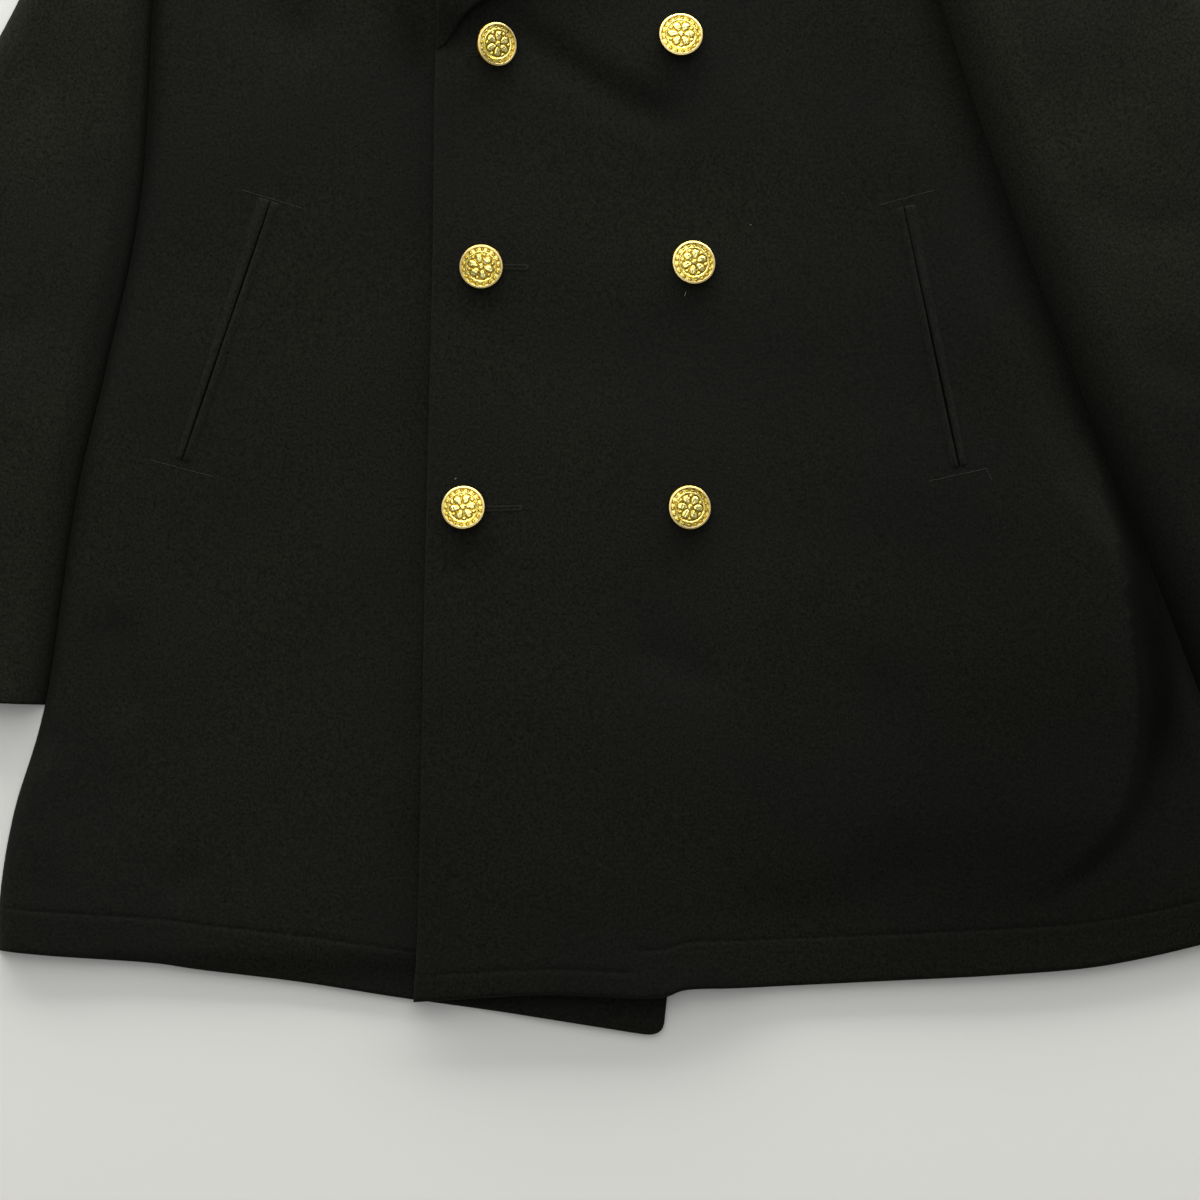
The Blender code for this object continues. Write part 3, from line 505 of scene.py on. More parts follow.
def clothShell(name, outer, inner, material, replaced=(), cut=None):
    # closed sheet: the outer grid, the inner grid and a strip that joins their borders; cut is the flat
    # size in metres, the area in square metres, and what it rests on; it is not used
    rows, columns = outer.shape[:2]
    count = rows * columns
    index = np.arange(count).reshape(rows, columns)
    cells = [index[:-1, :-1], index[:-1, 1:], index[1:, 1:], index[1:, :-1]]
    face = np.stack([corner.ravel() for corner in cells], 1)
    rim = borderOf(index[..., None])[:, 0]
    after = np.roll(rim, -1)
    strip = np.stack([after, rim, rim + count, after + count], 1)
    quads = np.vstack([face, face[:, ::-1] + count, strip])
    points = np.vstack([outer.reshape(-1, 3), inner.reshape(-1, 3)])
    piece = makeMesh(name, points, quads, material, replaced)
    return piece


def flatShell(name, upper, lower, fall, wall, material, replaced, cut):
    # hidden panel flat on the floor: its faces draw together by the fall at its edges
    outer, inner = np.dstack([upper, wall - fall]), np.dstack([lower, thinnest + 0.9 * fall])
    clothShell(name, outer, inner, material, replaced, cut)


def roundedEdge(distance, wall):
    # how far a face falls back from flat next to a folded edge: nearly half the wall, as a quarter
    # round; the two faces together make the half round
    return 0.46 * wall * (1 - quarter(distance, 0.5 * wall))


def stitchedGroove(distance, row):
    # a row of stitches pulls the cloth down along its line, and the cloth puffs a little beside it
    off = distance - row[0]
    return row[1] * (0.22 * bell(np.abs(off) - 3.2, 1.8) - bell(off, 0.8))


def pastRow(distance, row):
    # 0 outside a row of stitches, 1 inside it, over 2 mm
    return smoothStep(row[0] - 1, row[0] + 1, distance)


def tubeFaces(rings, around):
    # quads between rings of points, and triangles that close both ends to the two points after them
    index = np.arange(rings * around).reshape(rings, around)
    turned = np.roll(index, -1, axis=1)
    low, high = (np.full(around, rings * around + k) for k in (0, 1))
    sides = np.stack([index[:-1], turned[:-1], turned[1:], index[1:]], -1).reshape(-1, 4)
    caps = [np.stack([turned[0], index[0], low], 1), np.stack([index[-1], turned[-1], high], 1)]
    return sides, np.vstack(caps)


# threads: every row of stitches on a piece is one mesh of small ovals
thread = {"pitch": 3.5, "length": 2.9, "width": 0.62, "height": 0.5, "sink": 0.16, "around": 6}


def stitchMesh(name, rows, material):
    # each stitch is a blunt oval of rings: radius sqrt(1 - u^4) across, u from -1 to 1 along its way
    # rows: (centres (n, 3), ways (n, 2), length, width, height)
    u, around = np.array([-0.93, -0.5, 0.5, 0.93]), thread["around"]
    angle = np.linspace(0, 2 * math.pi, around, endpoint=False)
    ring = np.sqrt(1 - u ** 4)[:, None]
    unit = np.stack([np.repeat(u[:, None], around, 1), ring * np.cos(angle), ring * np.sin(angle)], -1)
    unit = np.vstack([unit.reshape(-1, 3), [[-1, 0, 0], [1, 0, 0]]])
    parts = tubeFaces(len(u), around)
    points, faces, start = [], [], 0
    for centres, ways, length, width, height in rows:
        aside = sideways(ways)
        way = np.stack([aside[:, 1], -aside[:, 0]], 1)
        along, across = unit[None, :, :1] * length, unit[None, :, 1:2] * width
        p = np.zeros((len(centres), len(unit), 3))
        p[..., :2] = (way[:, None] * along + aside[:, None] * across) / 2
        p[..., 2] = unit[None, :, 2] * height / 2
        points.append((p + centres[:, None]).reshape(-1, 3))
        shift = start + np.arange(len(centres))[:, None, None] * len(unit)
        for part in parts:
            faces += (part[None] + shift).reshape(-1, part.shape[1]).tolist()
        start += len(centres) * len(unit)
    return makeMesh(name, np.vstack(points), faces, material)


def stitchesAlong(line, surface, seed, settings=thread, jitter=0.12):
    # equal steps along a line in the plan, each centre set on the surface and sunk a little
    count = max(2, int(runOf(line)[-1] / settings["pitch"]))
    centres = atShare(line, (np.arange(count) + 0.5) / count)
    ways = np.gradient(centres, axis=0)
    rng = np.random.default_rng(seed)
    centres = centres + sideways(ways) * rng.normal(0, jitter, (count, 1))
    z = surface(centres[:, 0], centres[:, 1]) - settings["sink"]
    return np.column_stack([centres, z]), ways, settings["length"], settings["width"], settings["height"]


# sides of the body from the hem up to the shoulder point, and the wearer's left shoulder
body = {
    "right": [(-329, 28), (-328, 62), (-320, 108), (-302, 171), (-285, 285), (-268, 359), (-248, 456),
              (-241, 570), (-236, 600), (-219, 640), (-212, 690), (-219, 740), (-232, 787)],
    "left": [(379, 40), (378, 92), (370, 139), (356, 176), (336, 228), (314, 285), (276, 382), (242, 473),
             (209, 570), (202, 605), (203, 645), (209, 695), (219, 742), (232, 787)],
    "shoulder": [(85, 835), (160, 811), (232, 787)],
}

# back: one flat panel, a little smaller all round than the fronts that roll down over it
back = {
    "wall": 3.5,
    "hem": [(-329, 30), (-200, 32), (0, 33), (200, 36), (300, 38), (379, 42)],
    "top": [(-232, 787), (-160, 811), (-85, 835), (-55, 819), (0, 813),
            (55, 819), (85, 835), (160, 811), (232, 787)],
    "insets": (11.0, 5.4),  # how far in from the fronts' folds its upper and its lower face end
    "armhole": (630, 690), "neck": (95, 75),  # y and x over which the insets turn into a seam's gap
    "width": 600, "near": (0, 0.4, 1.2, 2.4), "cut": ((0.71, 0.81), 0.415, ["floor"]),
}


def makeBack():
    # Coons patch between the hem, the shoulders and neck, and both sides, each drawn in; both faces flat
    left, right = smoothLine(body["right"]), smoothLine(body["left"])
    top, hem, near = smoothLine(back["top"]), smoothLine(back["hem"]), back["near"]
    t, s = np.meshgrid(*(sharesFor([length], near, steps, near)[0] for length, steps in (
        (bodyLength, 110), (back["width"], 90))), indexing="ij")
    faces = []
    for inset in back["insets"]:
        sides = []
        for line, sign in ((left, -1), (right, 1)):
            seam = smoothStep(*back["armhole"], line[:, 1])
            sides.append(movedAside(line, sign * (inset * (1 - seam) + seamGap * seam)))
        neck = smoothStep(*back["neck"], np.abs(top[:, 0]))
        upper = movedAside(top, -(inset * (1 - neck) + seamGap * neck))
        upper[0], upper[-1] = sides[0][-1] - (0, inset), sides[1][-1] - (0, inset)
        sides = [np.vstack([line[:-6], end]) for line, end in zip(sides, (upper[:1], upper[-1:]))]
        bottom = np.vstack([sides[0][:1], hem[6:-6], sides[1][:1]])
        faces.append(coonsPatch(bottom, upper, sides[0], sides[1], s, t))
    width = np.linalg.norm(faces[1][:, -1] - faces[1][:, 0], axis=1)[:, None]
    edge = np.minimum(np.minimum(s, 1 - s) * width, np.minimum(t, 1 - t) * bodyLength)
    flatShell("backPanel", *faces, roundedEdge(edge, back["wall"]), back["wall"], bodyWool, ["back"],
              back["cut"])
    return np.where(insideLine(borderOf(faces[1])), back["wall"], 0.0)


# fronts: what both share; each row of stitches by its distance from the edge and its groove's depth
front = {
    "wall": 4.5, "shoulderRoll": 14.0, "edge": (12.0, 0.32), "facing": (13.6, 0.35), "hem": (25.6, 0.38),
    "stitchedTo": (600, 560),  # y over which the edge's row ends, where the lapel starts to roll
    "uneven": (0.45, 120.0),  # height and length of the slow rolling
    "doubled": (105, 20),  # y over which the painted shade of the ramps eases to half on the turned-up hem
    "nearHem": (0, 0.25, 0.8, 1.5, 2.4, 4, 6.5, 9.5, 11.7, 12.8, 13.6, 14.4, 15.6, 18, 21, 23.6, 24.8, 25.6,
                26.4, 27.6, 30, 34),
    "nearFold": (0, 0.4, 1.2, 2.5, 4.5, 7, 10, 14, 19, 24),
    "nearEdge": (0, 0.25, 0.8, 1.5, 2.4, 4, 6.5, 9, 10.6, 11.4, 12.0, 12.6, 13.4, 15, 18, 22),
}
# sideRoll: y, width of the roll at the side, and how much of it falls as a slope rather than as a round
# sideShade, painted shade in from the side: amount, reach, and the y over which it starts; the ramps of
# painted shade: axis, start, end, amount
# folds, and shades of painted shade: path, height or amount, width to the wearer's left and to the right
rightFront = {
    "edge": [(50.8, -14), (60, 70), (75, 190), (86, 290), (91, 420), (84, 541), (74, 590), (46, 652),
             (4, 716), (-38, 770), (-64, 806), (-85, 835)],
    "hem": [(50.8, -14), (49.3, -17.4), (45.5, -19.8), (38, -19.8), (14, -16), (-43, -7), (-100, 1),
            (-157, 10), (-214, 17), (-242, 21), (-299, 25), (-329, 28)],
    "steps": (150, 84), "seed": 3, "loft": 1.6, "pressedHem": (0, 60), "reach": 12.0,
    "sideRoll": [(0, 12, 0.0), (590, 11, 0.0)],
    "sideShade": (0.55, 8.0, 400, 560), "shadeRamps": (),
    "shades": [([(-95, 635), (-96, 600), (-92, 560), (-86, 515)], 0.62, 10, 17)],
    "cut": ((0.45, 0.87), 0.27, ["backPanel"]),
    "folds": [
        ([(-262, 228), (-257, 190), (-253, 148)], -1.6, 13, 13),
        ([(-231, 57), (-214, 80)], -1.0, 10, 10),
        ([(-297, 150), (-306, 110), (-300, 60)], 2.2, 14, 10),
        ([(-262, 330), (-270, 260), (-280, 190)], 1.4, 14, 10),
        ([(-150, 700), (-130, 640), (-138, 570)], -1.6, 20, 26),
        ([(-205, 600), (-170, 560), (-140, 540)], -2.0, 14, 18),
        ([(-120, 80), (-60, 110), (-40, 170)], -0.9, 18, 22),
    ],
}
leftFront = {
    "edge": [(-92, -1), (-89, 57), (-85, 251), (-81, 418), (-79, 541), (-72, 590), (-46, 650), (-4, 716),
             (38, 770), (64, 806), (85, 835)],
    "hem": [(-92, -1), (-18, 3), (44, 1), (64, 6), (100, 7), (185, 11), (242, 14), (299, 19), (355, 31),
            (379, 40)],
    "steps": (200, 146), "seed": 8, "loft": 2.4, "pressedHem": (0, 70), "reach": 38.0,
    "sideRoll": [(0, 14, 0.1), (240, 18, 0.2), (295, 42, 0.9), (340, 48, 1.0), (460, 50, 1.0),
                 (590, 54, 1.0)],
    "hip": {
        "edge": [(250, 400), (278, 345), (298, 300), (310, 255), (315, 215), (320, 171), (315, 125),
                 (302, 94), (275, 72), (240, 56)],
        "across": (40, 300), "low": (25, 110), "high": (540, 200), "height": 7.0, "fall": 6.0,
        "trough": 2.2, "footAt": 9.6,  # depth of the trough and its distance from the fold
        "dark": (0.80, 11.0, 16.0),  # amount, middle and reach of the painted shadow outside the fold
        "darkEnds": ((0.05, 0.33), (0.22, 0.50)),  # shares over which its upper and lower end fade
    },
    "sideShade": (0.46, 17.0, 290, 350), "shadeRamps": ((0, 60, 260, 0.30), (1, 280, 90, 0.20)),
    "shades": [([(-8, 594), (-40, 576), (-62, 556), (-82, 532)], 0.30, 8, 11)],
    "cut": ((0.51, 0.87), 0.285, ["frontRight"]),
    "folds": [
        ([(333, 225), (337, 171), (334, 112)], -2.4, 12, 7),
        ([(-36, 572), (-6, 549), (28, 527), (66, 508)], 3.4, 60, 13),
        ([(-62, 577), (-30, 552), (8, 526), (44, 505), (68, 492)], -3.2, 10, 12),
        ([(71, 52), (145, 52), (219, 92)], -1.8, 20, 24),
        ([(26, 205), (94, 176)], -1.1, 12, 12),
        ([(120, 240), (150, 190), (200, 150)], -1.0, 20, 26),
        ([(225, 640), (190, 560), (205, 480)], -2.4, 22, 26),
        ([(150, 720), (128, 650), (132, 580)], -1.4, 20, 24),
    ],
}


def paintShade(panel, plan, shadeRamps=(), extra=0.0):
    # painted shade for the cloth's colour: the ramps along x or y added up, less on the turned-up hem,
    # and the painted shade that deep folds and seams add
    total = sum(amount * smoothStep(start, end, plan[..., axis]) for axis, start, end, amount in shadeRamps)
    total = total * (1 - 0.5 * smoothStep(*front["doubled"], plan[..., 1])) + extra
    setAttribute(panel, "pressed", np.tile(np.ravel(total), 2))


def shadesOn(x, y, fromSide, settings):
    # painted shade: amount times exp(-(distance / reach)^2) in from the side, along each shaded path and
    # outside the hip's fold
    amount, reach, low, high = settings["sideShade"]
    total = amount * bell(fromSide, reach) * smoothStep(low, high, y)
    if "hip" in settings:
        nearest, share, side = nearPath(x, y, settings["hip"]["edge"])
        (amount, middle, reach), (upper, lower) = settings["hip"]["dark"], settings["hip"]["darkEnds"]
        ends = smoothStep(*upper, share) * smoothStep(*lower, 1 - share)
        total += amount * bell(nearest - middle, reach) * (side > 0) * ends
    return total + foldsOn(x, y, settings["shades"])


def heightOf(settings, below):
    # the layers below, bridged by stiff cloth, plus the wall, some air, the folds and a slow unevenness
    reach = settings["reach"]
    total = drapeOver(below + layerGap * (below > 0), reach) + front["wall"]
    air = settings["loft"] * smoothStep(*settings["pressedHem"], mapY)
    total += air * drapeOver((below > 0) * 1.0, reach) + foldsOn(mapX, mapY, settings["folds"])
    if "hip" in settings:
        total += hipAt(mapX, mapY, settings["hip"])
    return total + unevenness(mapX, mapY, settings["seed"], *front["uneven"])


def makeFront(name, node, settings, side, shoulder, below):
    # the height map sampled on the patch; at the side and the shoulder it rolls down to the floor, at
    # the armhole it ends at the seam's height, and its free edges are rounded.
    # Returns its outlines and the height map with the front on it
    edgeLine, sideLine, hemLine = (smoothLine(line) for line in (settings["edge"], side, settings["hem"]))
    rows, columns = ((front[near], steps, front["nearFold"])
                     for near, steps in zip(("nearHem", "nearEdge"), settings["steps"]))
    plan, away = patchGrid(hemLine, smoothLine(shoulder), edgeLine, sideLine, bodyLength, rows, columns)
    fromEdge, fromSide, fromHem, fromShoulder = away
    height = heightOf(settings, below)
    x, y = plan[..., 0], plan[..., 1]
    seam = smoothStep(*armholeStart, y[:, -1:])
    stations = np.array(settings["sideRoll"], float)
    width, slope = (np.interp(y, stations[:, 0], stations[:, k]) for k in (1, 2))
    roll = slopedRound(fromSide, width, slope)
    z = onMap(height, x, y)
    seamDrop = np.clip(z - seamHeight, 0, None) * (1 - roll)
    z = seam * (z - seamDrop) + (1 - seam) * z * roll
    z = z * quarter(fromShoulder, front["shoulderRoll"])
    free = np.minimum(fromEdge + farOff * smoothStep(bodyLength - 20, bodyLength, fromHem), fromHem)
    fall = roundedEdge(free, front["wall"])
    facing = smoothStep(facingWidth + 2, facingWidth - 2, fromEdge)
    relief = stitchedGroove(fromEdge, front["edge"]) * smoothStep(*front["stitchedTo"], y)
    relief += stitchedGroove(fromHem, front["facing"]) * facing * pastRow(fromEdge, front["edge"])
    relief += stitchedGroove(fromHem, front["hem"]) * (1 - facing)
    relief -= roundedEdge(fromSide, seamRound) * seam
    faces = panelFaces(
        np.dstack([x, y, z]), front["wall"], z - fall + relief, fall, (np.s_[:-1, 0], np.s_[0]))
    panel = clothShell(name, *faces, bodyWool, [node], settings["cut"])
    paintShade(panel, plan, settings["shadeRamps"], shadesOn(x, y, fromSide, settings))
    outline = {"side": plan[:, -1], "edge": edgeLine, "hem": hemLine}
    return outline, np.where(insideLine(borderOf(plan)), height, below)


# lapels: turned back over the fronts, each rolled round its front's upper edge
lapel = {
    "wall": 4.0, "roll": 9.0, "break": 539.0, "end": 768.0, "length": 255.0, "overhang": 8.0,
    "leaves": (556, 600), "wraps": (584, 620), "stitch": (12.0, 0.5), "drape": 6,
    "puff": (1.6, 12, 14),  # height, middle and reach of the roll's fullness
    "outer": [(-78.6, 540.3), (-74, 543.5), (-69.5, 549), (-63, 559), (-50, 569), (-20, 582), (10, 594),
              (60, 637), (106, 700)],
    "corners": [(55, 748), (76, 727), (88, 715)],
    "rows": ((0, 0.8, 2, 4), 56, (0, 0.25, 0.8, 1.5, 2.3, 4, 7, 9.5, 11, 12, 13, 15)),
    "columns": ((0, 0.3, 0.9, 1.8, 3, 4.5, 6.5, 9), 30, (0, 0.25, 0.8, 1.5, 2.3, 4, 7, 9.5, 11, 12, 13, 15)),
    "thinTip": 0.12, "tipRun": 30.0,  # at the break the leaf starts thin and thickens over this length
    "stitchedFrom": 0.9,  # share of its thickness from which the leaf is stitched
    "notchEnd": (10, 4),  # distance from the roll over which the notch edge stops being rounded
    "shadeRun": 70,  # how far up from the break the painted shade at the tip reaches
    # start: the share of the lower end that is tucked away
    "right": {"sign": -1, "start": 0.55, "tipShade": 0.0, "cut": ((0.15, 0.17), 0.0128, ["frontRight"])},
    "left": {"sign": 1, "start": 0.0, "tipShade": 0.38, "cut": ((0.19, 0.29), 0.0225, ["frontLeft"])},
}


def makeLapel(side, edge, cover, ground):
    # Coons patch between the roll, which is the front's own edge moved out, the outer edge and the
    # notch edge; it lies on the front, and its roll comes down round the front's edge as a quarter
    # round. Returns the height map with the lapel on it
    mine, stitch = lapel[side], lapel["stitch"]
    under, ground = drapeOver(cover, lapel["drape"]), drapeOver(ground, lapel["drape"])
    line = smoothLine(edge)
    line = line[(line[:, 1] > lapel["break"]) & (line[:, 1] < lapel["end"])]
    rollLine = movedAside(line, mine["sign"] * lapel["overhang"] * smoothStep(*lapel["leaves"], line[:, 1]))
    flip = np.array([mine["sign"], 1])
    outerLine = smoothLine(np.array(lapel["outer"]) * flip)
    topLine = smoothLine(np.vstack([rollLine[-1:], np.array(lapel["corners"]) * flip, outerLine[-1:]]))
    plan, away = patchGrid(
        np.vstack([rollLine[:1], outerLine[:1]]), topLine, rollLine, outerLine, lapel["length"],
        lapel["rows"], lapel["columns"], mine["start"])
    fromRoll, fromOuter, fromBreak, fromTop = away
    x, y = plan[..., 0], plan[..., 1]
    tip = lapel["thinTip"] + (1 - lapel["thinTip"]) * smoothStep(0, lapel["tipRun"], fromBreak)
    wall = lapel["wall"] * tip
    flatLow = onMap(under, x, y) + layerGap * tip
    wrap = smoothStep(*lapel["wraps"], y)
    low = (1 - wrap) * (flatLow + 0.6 * wall) + wrap * (onMap(ground, x, y) + layerGap)
    height, middle, reach = lapel["puff"]
    puff = height * tip * bell(fromRoll - middle, reach)
    z = low + (flatLow + wall + puff - low) * quarter(fromRoll, lapel["roll"])
    least = np.minimum((1 - wrap) * flatLow + wrap * low, z - 0.1 * wall)
    free = np.minimum(fromOuter, fromTop + farOff * smoothStep(*lapel["notchEnd"], fromRoll))
    fall = roundedEdge(free, wall)
    relief = stitchedGroove(fromOuter, stitch) * pastRow(fromTop, stitch) * (tip > lapel["stitchedFrom"])
    relief += stitchedGroove(fromTop, stitch) * pastRow(fromOuter, stitch)
    faces = panelFaces(np.dstack([x, y, z]), wall, z - fall + relief, fall, [np.s_[:, -1]], least)
    leaf = clothShell("lapel" + side.capitalize(), *faces, turnedWool, ["lapel_" + side], mine["cut"])
    # painted shade near the break, round the leaf's thin tip
    paintShade(leaf, plan, extra=mine["tipShade"] * smoothStep(lapel["shadeRun"], 0, fromBreak))
    return np.where(insideLine(borderOf(plan)), under + lapel["wall"] + layerGap + 1.0, cover)


backTop = makeBack()
print("back made")
rightShoulder = [(-x, y) for x, y in body["shoulder"]]
rightOutline, rightCover = makeFront(
    "frontRight", "front_right", rightFront, body["right"], rightShoulder, backTop)
lapelTop = makeLapel("right", rightFront["edge"], rightCover, backTop)
leftOutline, leftCover = makeFront(
    "frontLeft", "front_left", leftFront, body["left"], body["shoulder"], lapelTop)
makeLapel("left", leftFront["edge"], leftCover, lapelTop)
print("fronts and lapels made")

# collar, one row for each section, from the middle of the back to the end of the leaf on the wearer's
# left: the fold's x, y, z; where it points and how far the fall has turned over the stand, in degrees;
# the stand's length and its z; the fall's middle x, y; its edge x, y, z; how much it lies on the front
collar = {
    "wall": 4.0, "foldRadius": 2.6, "leafIn": 15.0, "stitch": (12.0, 0.5), "drape": 12,
    "cut": ((0.46, 0.13), 0.040, ["frontLeft", "frontRight"]),
    "sections": [
        (0, 862, 4.7, 90, 0, 52, 6.4, 0, 841, 0, 819, 2.1, 0),
        (34, 860, 4.7, 88, 0, 49, 6.4, 35, 841, 36, 823, 2.1, 0),
        (64, 855, 5.2, 84, 15, 34, 7.2, 67, 846, 71, 838, 2.3, 0),
        (80, 848, 9.0, 98, 80, 14, 10.0, 98, 849, 116, 845, 4.5, 0),
        (67, 833, 15.0, 136, 150, 4, 14.0, 104, 833, 140, 825, 14.0, 1),
        (54, 814, 15.0, 144, 180, 1.0, 14.0, 101, 807, 151, 798, 14.0, 1),
        (40, 797, 15.0, 146, 180, 1.0, 14.0, 92, 775, 146, 764, 14.0, 1),
        (27, 779, 15.0, 146, 180, 1.0, 14.0, 76, 733, 134, 727, 14.0, 1),
    ],
    "mirror": (-1, 1, 1, 1, 1, 1, 1, -1, 1, -1, 1, 1, 1),  # sign of each number on the other side
    # shares of the stand, and distances from the fall's edge, at which the columns lie
    "onStand": (0, 0.01, 0.03, 0.08, 0.15, 0.3, 0.45, 0.6, 0.75, 0.9),
    "fromEdge": (90, 80, 70, 61, 53, 46, 40, 34, 29, 25, 21, 18, 15.5, 13.5, 12.7, 12, 11.3, 10, 8, 6, 4,
                 2.4, 1.5, 0.8, 0.25, 0.0),
    "fallLength": 96.0, "standLength": 60.0,  # least length of the fall, and the stand's with its fold
}


def makeCollar(under):
    # band carried round the neck: a flat stand, a half-round fold and a fall on a parabola. Behind the
    # neck the fall lies under the stand; at both sides it has turned over and lies on the fronts
    c, wall, fromEdge = collar, collar["wall"], np.array(collar["fromEdge"])
    rows = smoothLine(c["sections"])
    other = rows[:0:-1] * np.array(c["mirror"])
    other[:, 3] = 180 - other[:, 3]
    side = np.concatenate([-np.ones(len(other)), np.ones(len(rows))])
    rows = np.vstack([other, rows])
    fold, turn, onFront = rows[:, :3].copy(), np.radians(rows[:, 4]), np.clip(rows[:, 12], 0, 1)
    point = np.radians(rows[:, 3])
    ahead = np.column_stack([wayAt(point), 0 * point])
    beside = np.column_stack([-sideways(ahead), 0 * point]) * side[:, None]
    onLeaf = fold - ahead * c["leafIn"]
    lift = onMap(under, onLeaf[:, 0], onLeaf[:, 1]) + layerGap + wall / 2 - c["foldRadius"]
    fold[:, 2] = (1 - onFront) * fold[:, 2] + onFront * lift
    apart = beside * np.sin(turn)[:, None] - np.array([0, 0, 1]) * np.cos(turn)[:, None]
    base = fold - ahead * c["foldRadius"]
    standEnd = base - apart * c["foldRadius"]
    stand = standEnd - ahead * rows[:, 5:6]
    stand[:, 2] = np.where(onFront > 0.5, standEnd[:, 2], rows[:, 6])
    columns = [stand + (standEnd - stand) * share for share in c["onStand"]]
    for angle in np.radians(np.linspace(0, 180, 13)):
        columns.append(base + (ahead * np.sin(angle) - apart * np.cos(angle)) * c["foldRadius"])
    beforeFall = len(columns)
    start, end = columns[-1], rows[:, 9:12]
    middle = np.stack([rows[:, 7], rows[:, 8], (start[:, 2] + end[:, 2]) / 2], 1)
    control = 2 * middle - 0.5 * (start + end)
    reach = np.maximum(np.linalg.norm(end - start, axis=1), c["fallLength"])
    for distance in fromEdge:
        share = np.clip(1 - distance / reach, 0, 1)[:, None]
        p = (1 - share) ** 2 * start + 2 * share * (1 - share) * control + share ** 2 * end
        draped = onMap(under, p[:, 0], p[:, 1]) + layerGap + wall / 2
        p[:, 2] = (1 - onFront) * p[:, 2] + onFront * draped
        columns.append(p)
    middleFace = np.stack(columns, axis=1)
    outer, inner = (offsetAlongNormals(middleFace, offset) for offset in (wall / 2, -wall / 2))
    fromStand = np.concatenate([
        np.linspace(0, c["standLength"], beforeFall), c["standLength"] + c["fallLength"] - fromEdge])
    fromRim = np.concatenate([np.full(beforeFall, fromEdge[0]), fromEdge])
    along = runOf(middleFace[:, -1])
    ends = np.minimum(along, along[-1] - along)[:, None]
    edge = np.minimum(np.minimum(fromRim, fromStand)[None], ends)
    share = (roundedEdge(edge, wall) / wall)[..., None]
    outer, inner = outer + (inner - outer) * share, inner + (outer - inner) * share
    groove = stitchedGroove(fromRim, c["stitch"])[None] * smoothStep(10, 14, ends)
    normal = (outer - inner) / np.maximum(np.linalg.norm(outer - inner, axis=2, keepdims=True), 1e-6)
    clothShell("collarPanel", outer + normal * groove[..., None], inner, turnedWool, ["collar"], c["cut"])


makeCollar(drapeOver(leftCover, collar["drape"]))
print("collar made")

# sleeves: a top panel arched over a flat under panel, folded down to the floor on both sides
sleeves = {
    "wall": 3.5, "crown": 16.5, "headCrown": 11.5, "arch": 0.12, "headRoll": 12.0, "cuffSink": 1.5,
    "outerRoll": 15.0, "innerSlope": 0.8, "uneven": (0.4, 90.0),
    "crownRise": (0, 0.45), "cuffFall": (0.75, 1),  # shares of the length over which the crown changes
    "tucked": 0.4,  # how far the inner fold is pushed in under the body's fold
    "insets": (8.5, 4.3),  # how far in from the folds the under panel's upper and lower face end
    "underStart": 12.0, "underWidth": 100,
    "rows": ((0, 0.6, 1.6, 3, 5, 8, 12), 124, (0, 0.25, 0.7, 1.3, 2.1, 4)),
    "columns": ((0, 0.3, 1.0, 2.2, 4, 6.5, 10, 14), 26, (0, 0.3, 1.0, 2.2, 4, 6.5, 10, 14)),
    "underColumns": ((0, 0.5, 1.5), 14, (0, 0.5, 1.5)),
    # ramps and foldShade are painted shade: darker along y and beside the inner fold's valley
    "right": {
        "outer": [(-243, 784), (-261, 735), (-278, 680), (-296.5, 622), (-317.5, 570), (-353, 505),
                  (-384, 440), (-412, 372), (-432, 300), (-446, 235), (-456, 174)],
        "cuff": 168, "innerRoll": 17.0, "seed": 12,
        "cut": ((0.19, 0.62), 0.076, ["floor"]), "underCut": ((0.18, 0.60), 0.0625, ["floor"]),
        "shadeRamps": [(1, 480, 560, 0.07)], "foldShade": (0.34, 11.0),
        "folds": [
            ([(-300, 640), (-299, 560), (-304, 480)], -3.2, 8, 11),
            ([(-262, 600), (-268, 520), (-280, 450)], 1.6, 14, 16),
            ([(-330, 520), (-352, 430), (-360, 330)], 1.6, 22, 26),
            ([(-300, 400), (-340, 372), (-390, 372)], -1.4, 12, 15),
            ([(-310, 330), (-350, 300), (-398, 302)], -1.1, 14, 12),
            ([(-330, 260), (-372, 240), (-410, 246)], -0.8, 14, 14),
            ([(-262, 700), (-246, 650), (-250, 600)], -1.4, 10, 12),
        ],
    },
    "left": {
        "outer": [(243, 784), (270, 735), (300, 680), (333, 622), (361, 570), (402, 470), (440, 380),
                  (478, 288), (516, 195)],
        "cuff": 139, "innerRoll": 28.0, "seed": 21,
        "cut": ((0.20, 0.66), 0.093, ["floor"]), "underCut": ((0.19, 0.63), 0.079, ["floor"]),
        "shadeRamps": [(1, 490, 190, 0.50)], "foldShade": (0.50, 13.0),
        "folds": [
            ([(262, 660), (262, 590), (290, 500)], 2.0, 20, 14),
            ([(338, 585), (362, 520), (372, 470)], 0.8, 20, 16),
            ([(300, 560), (330, 470), (372, 380)], -1.6, 20, 24),
            ([(280, 470), (320, 440), (372, 450)], -1.3, 12, 14),
            ([(318, 380), (360, 350), (410, 366)], -1.4, 14, 12),
            ([(350, 290), (392, 262), (446, 280)], -0.9, 14, 14),
        ],
    },
}


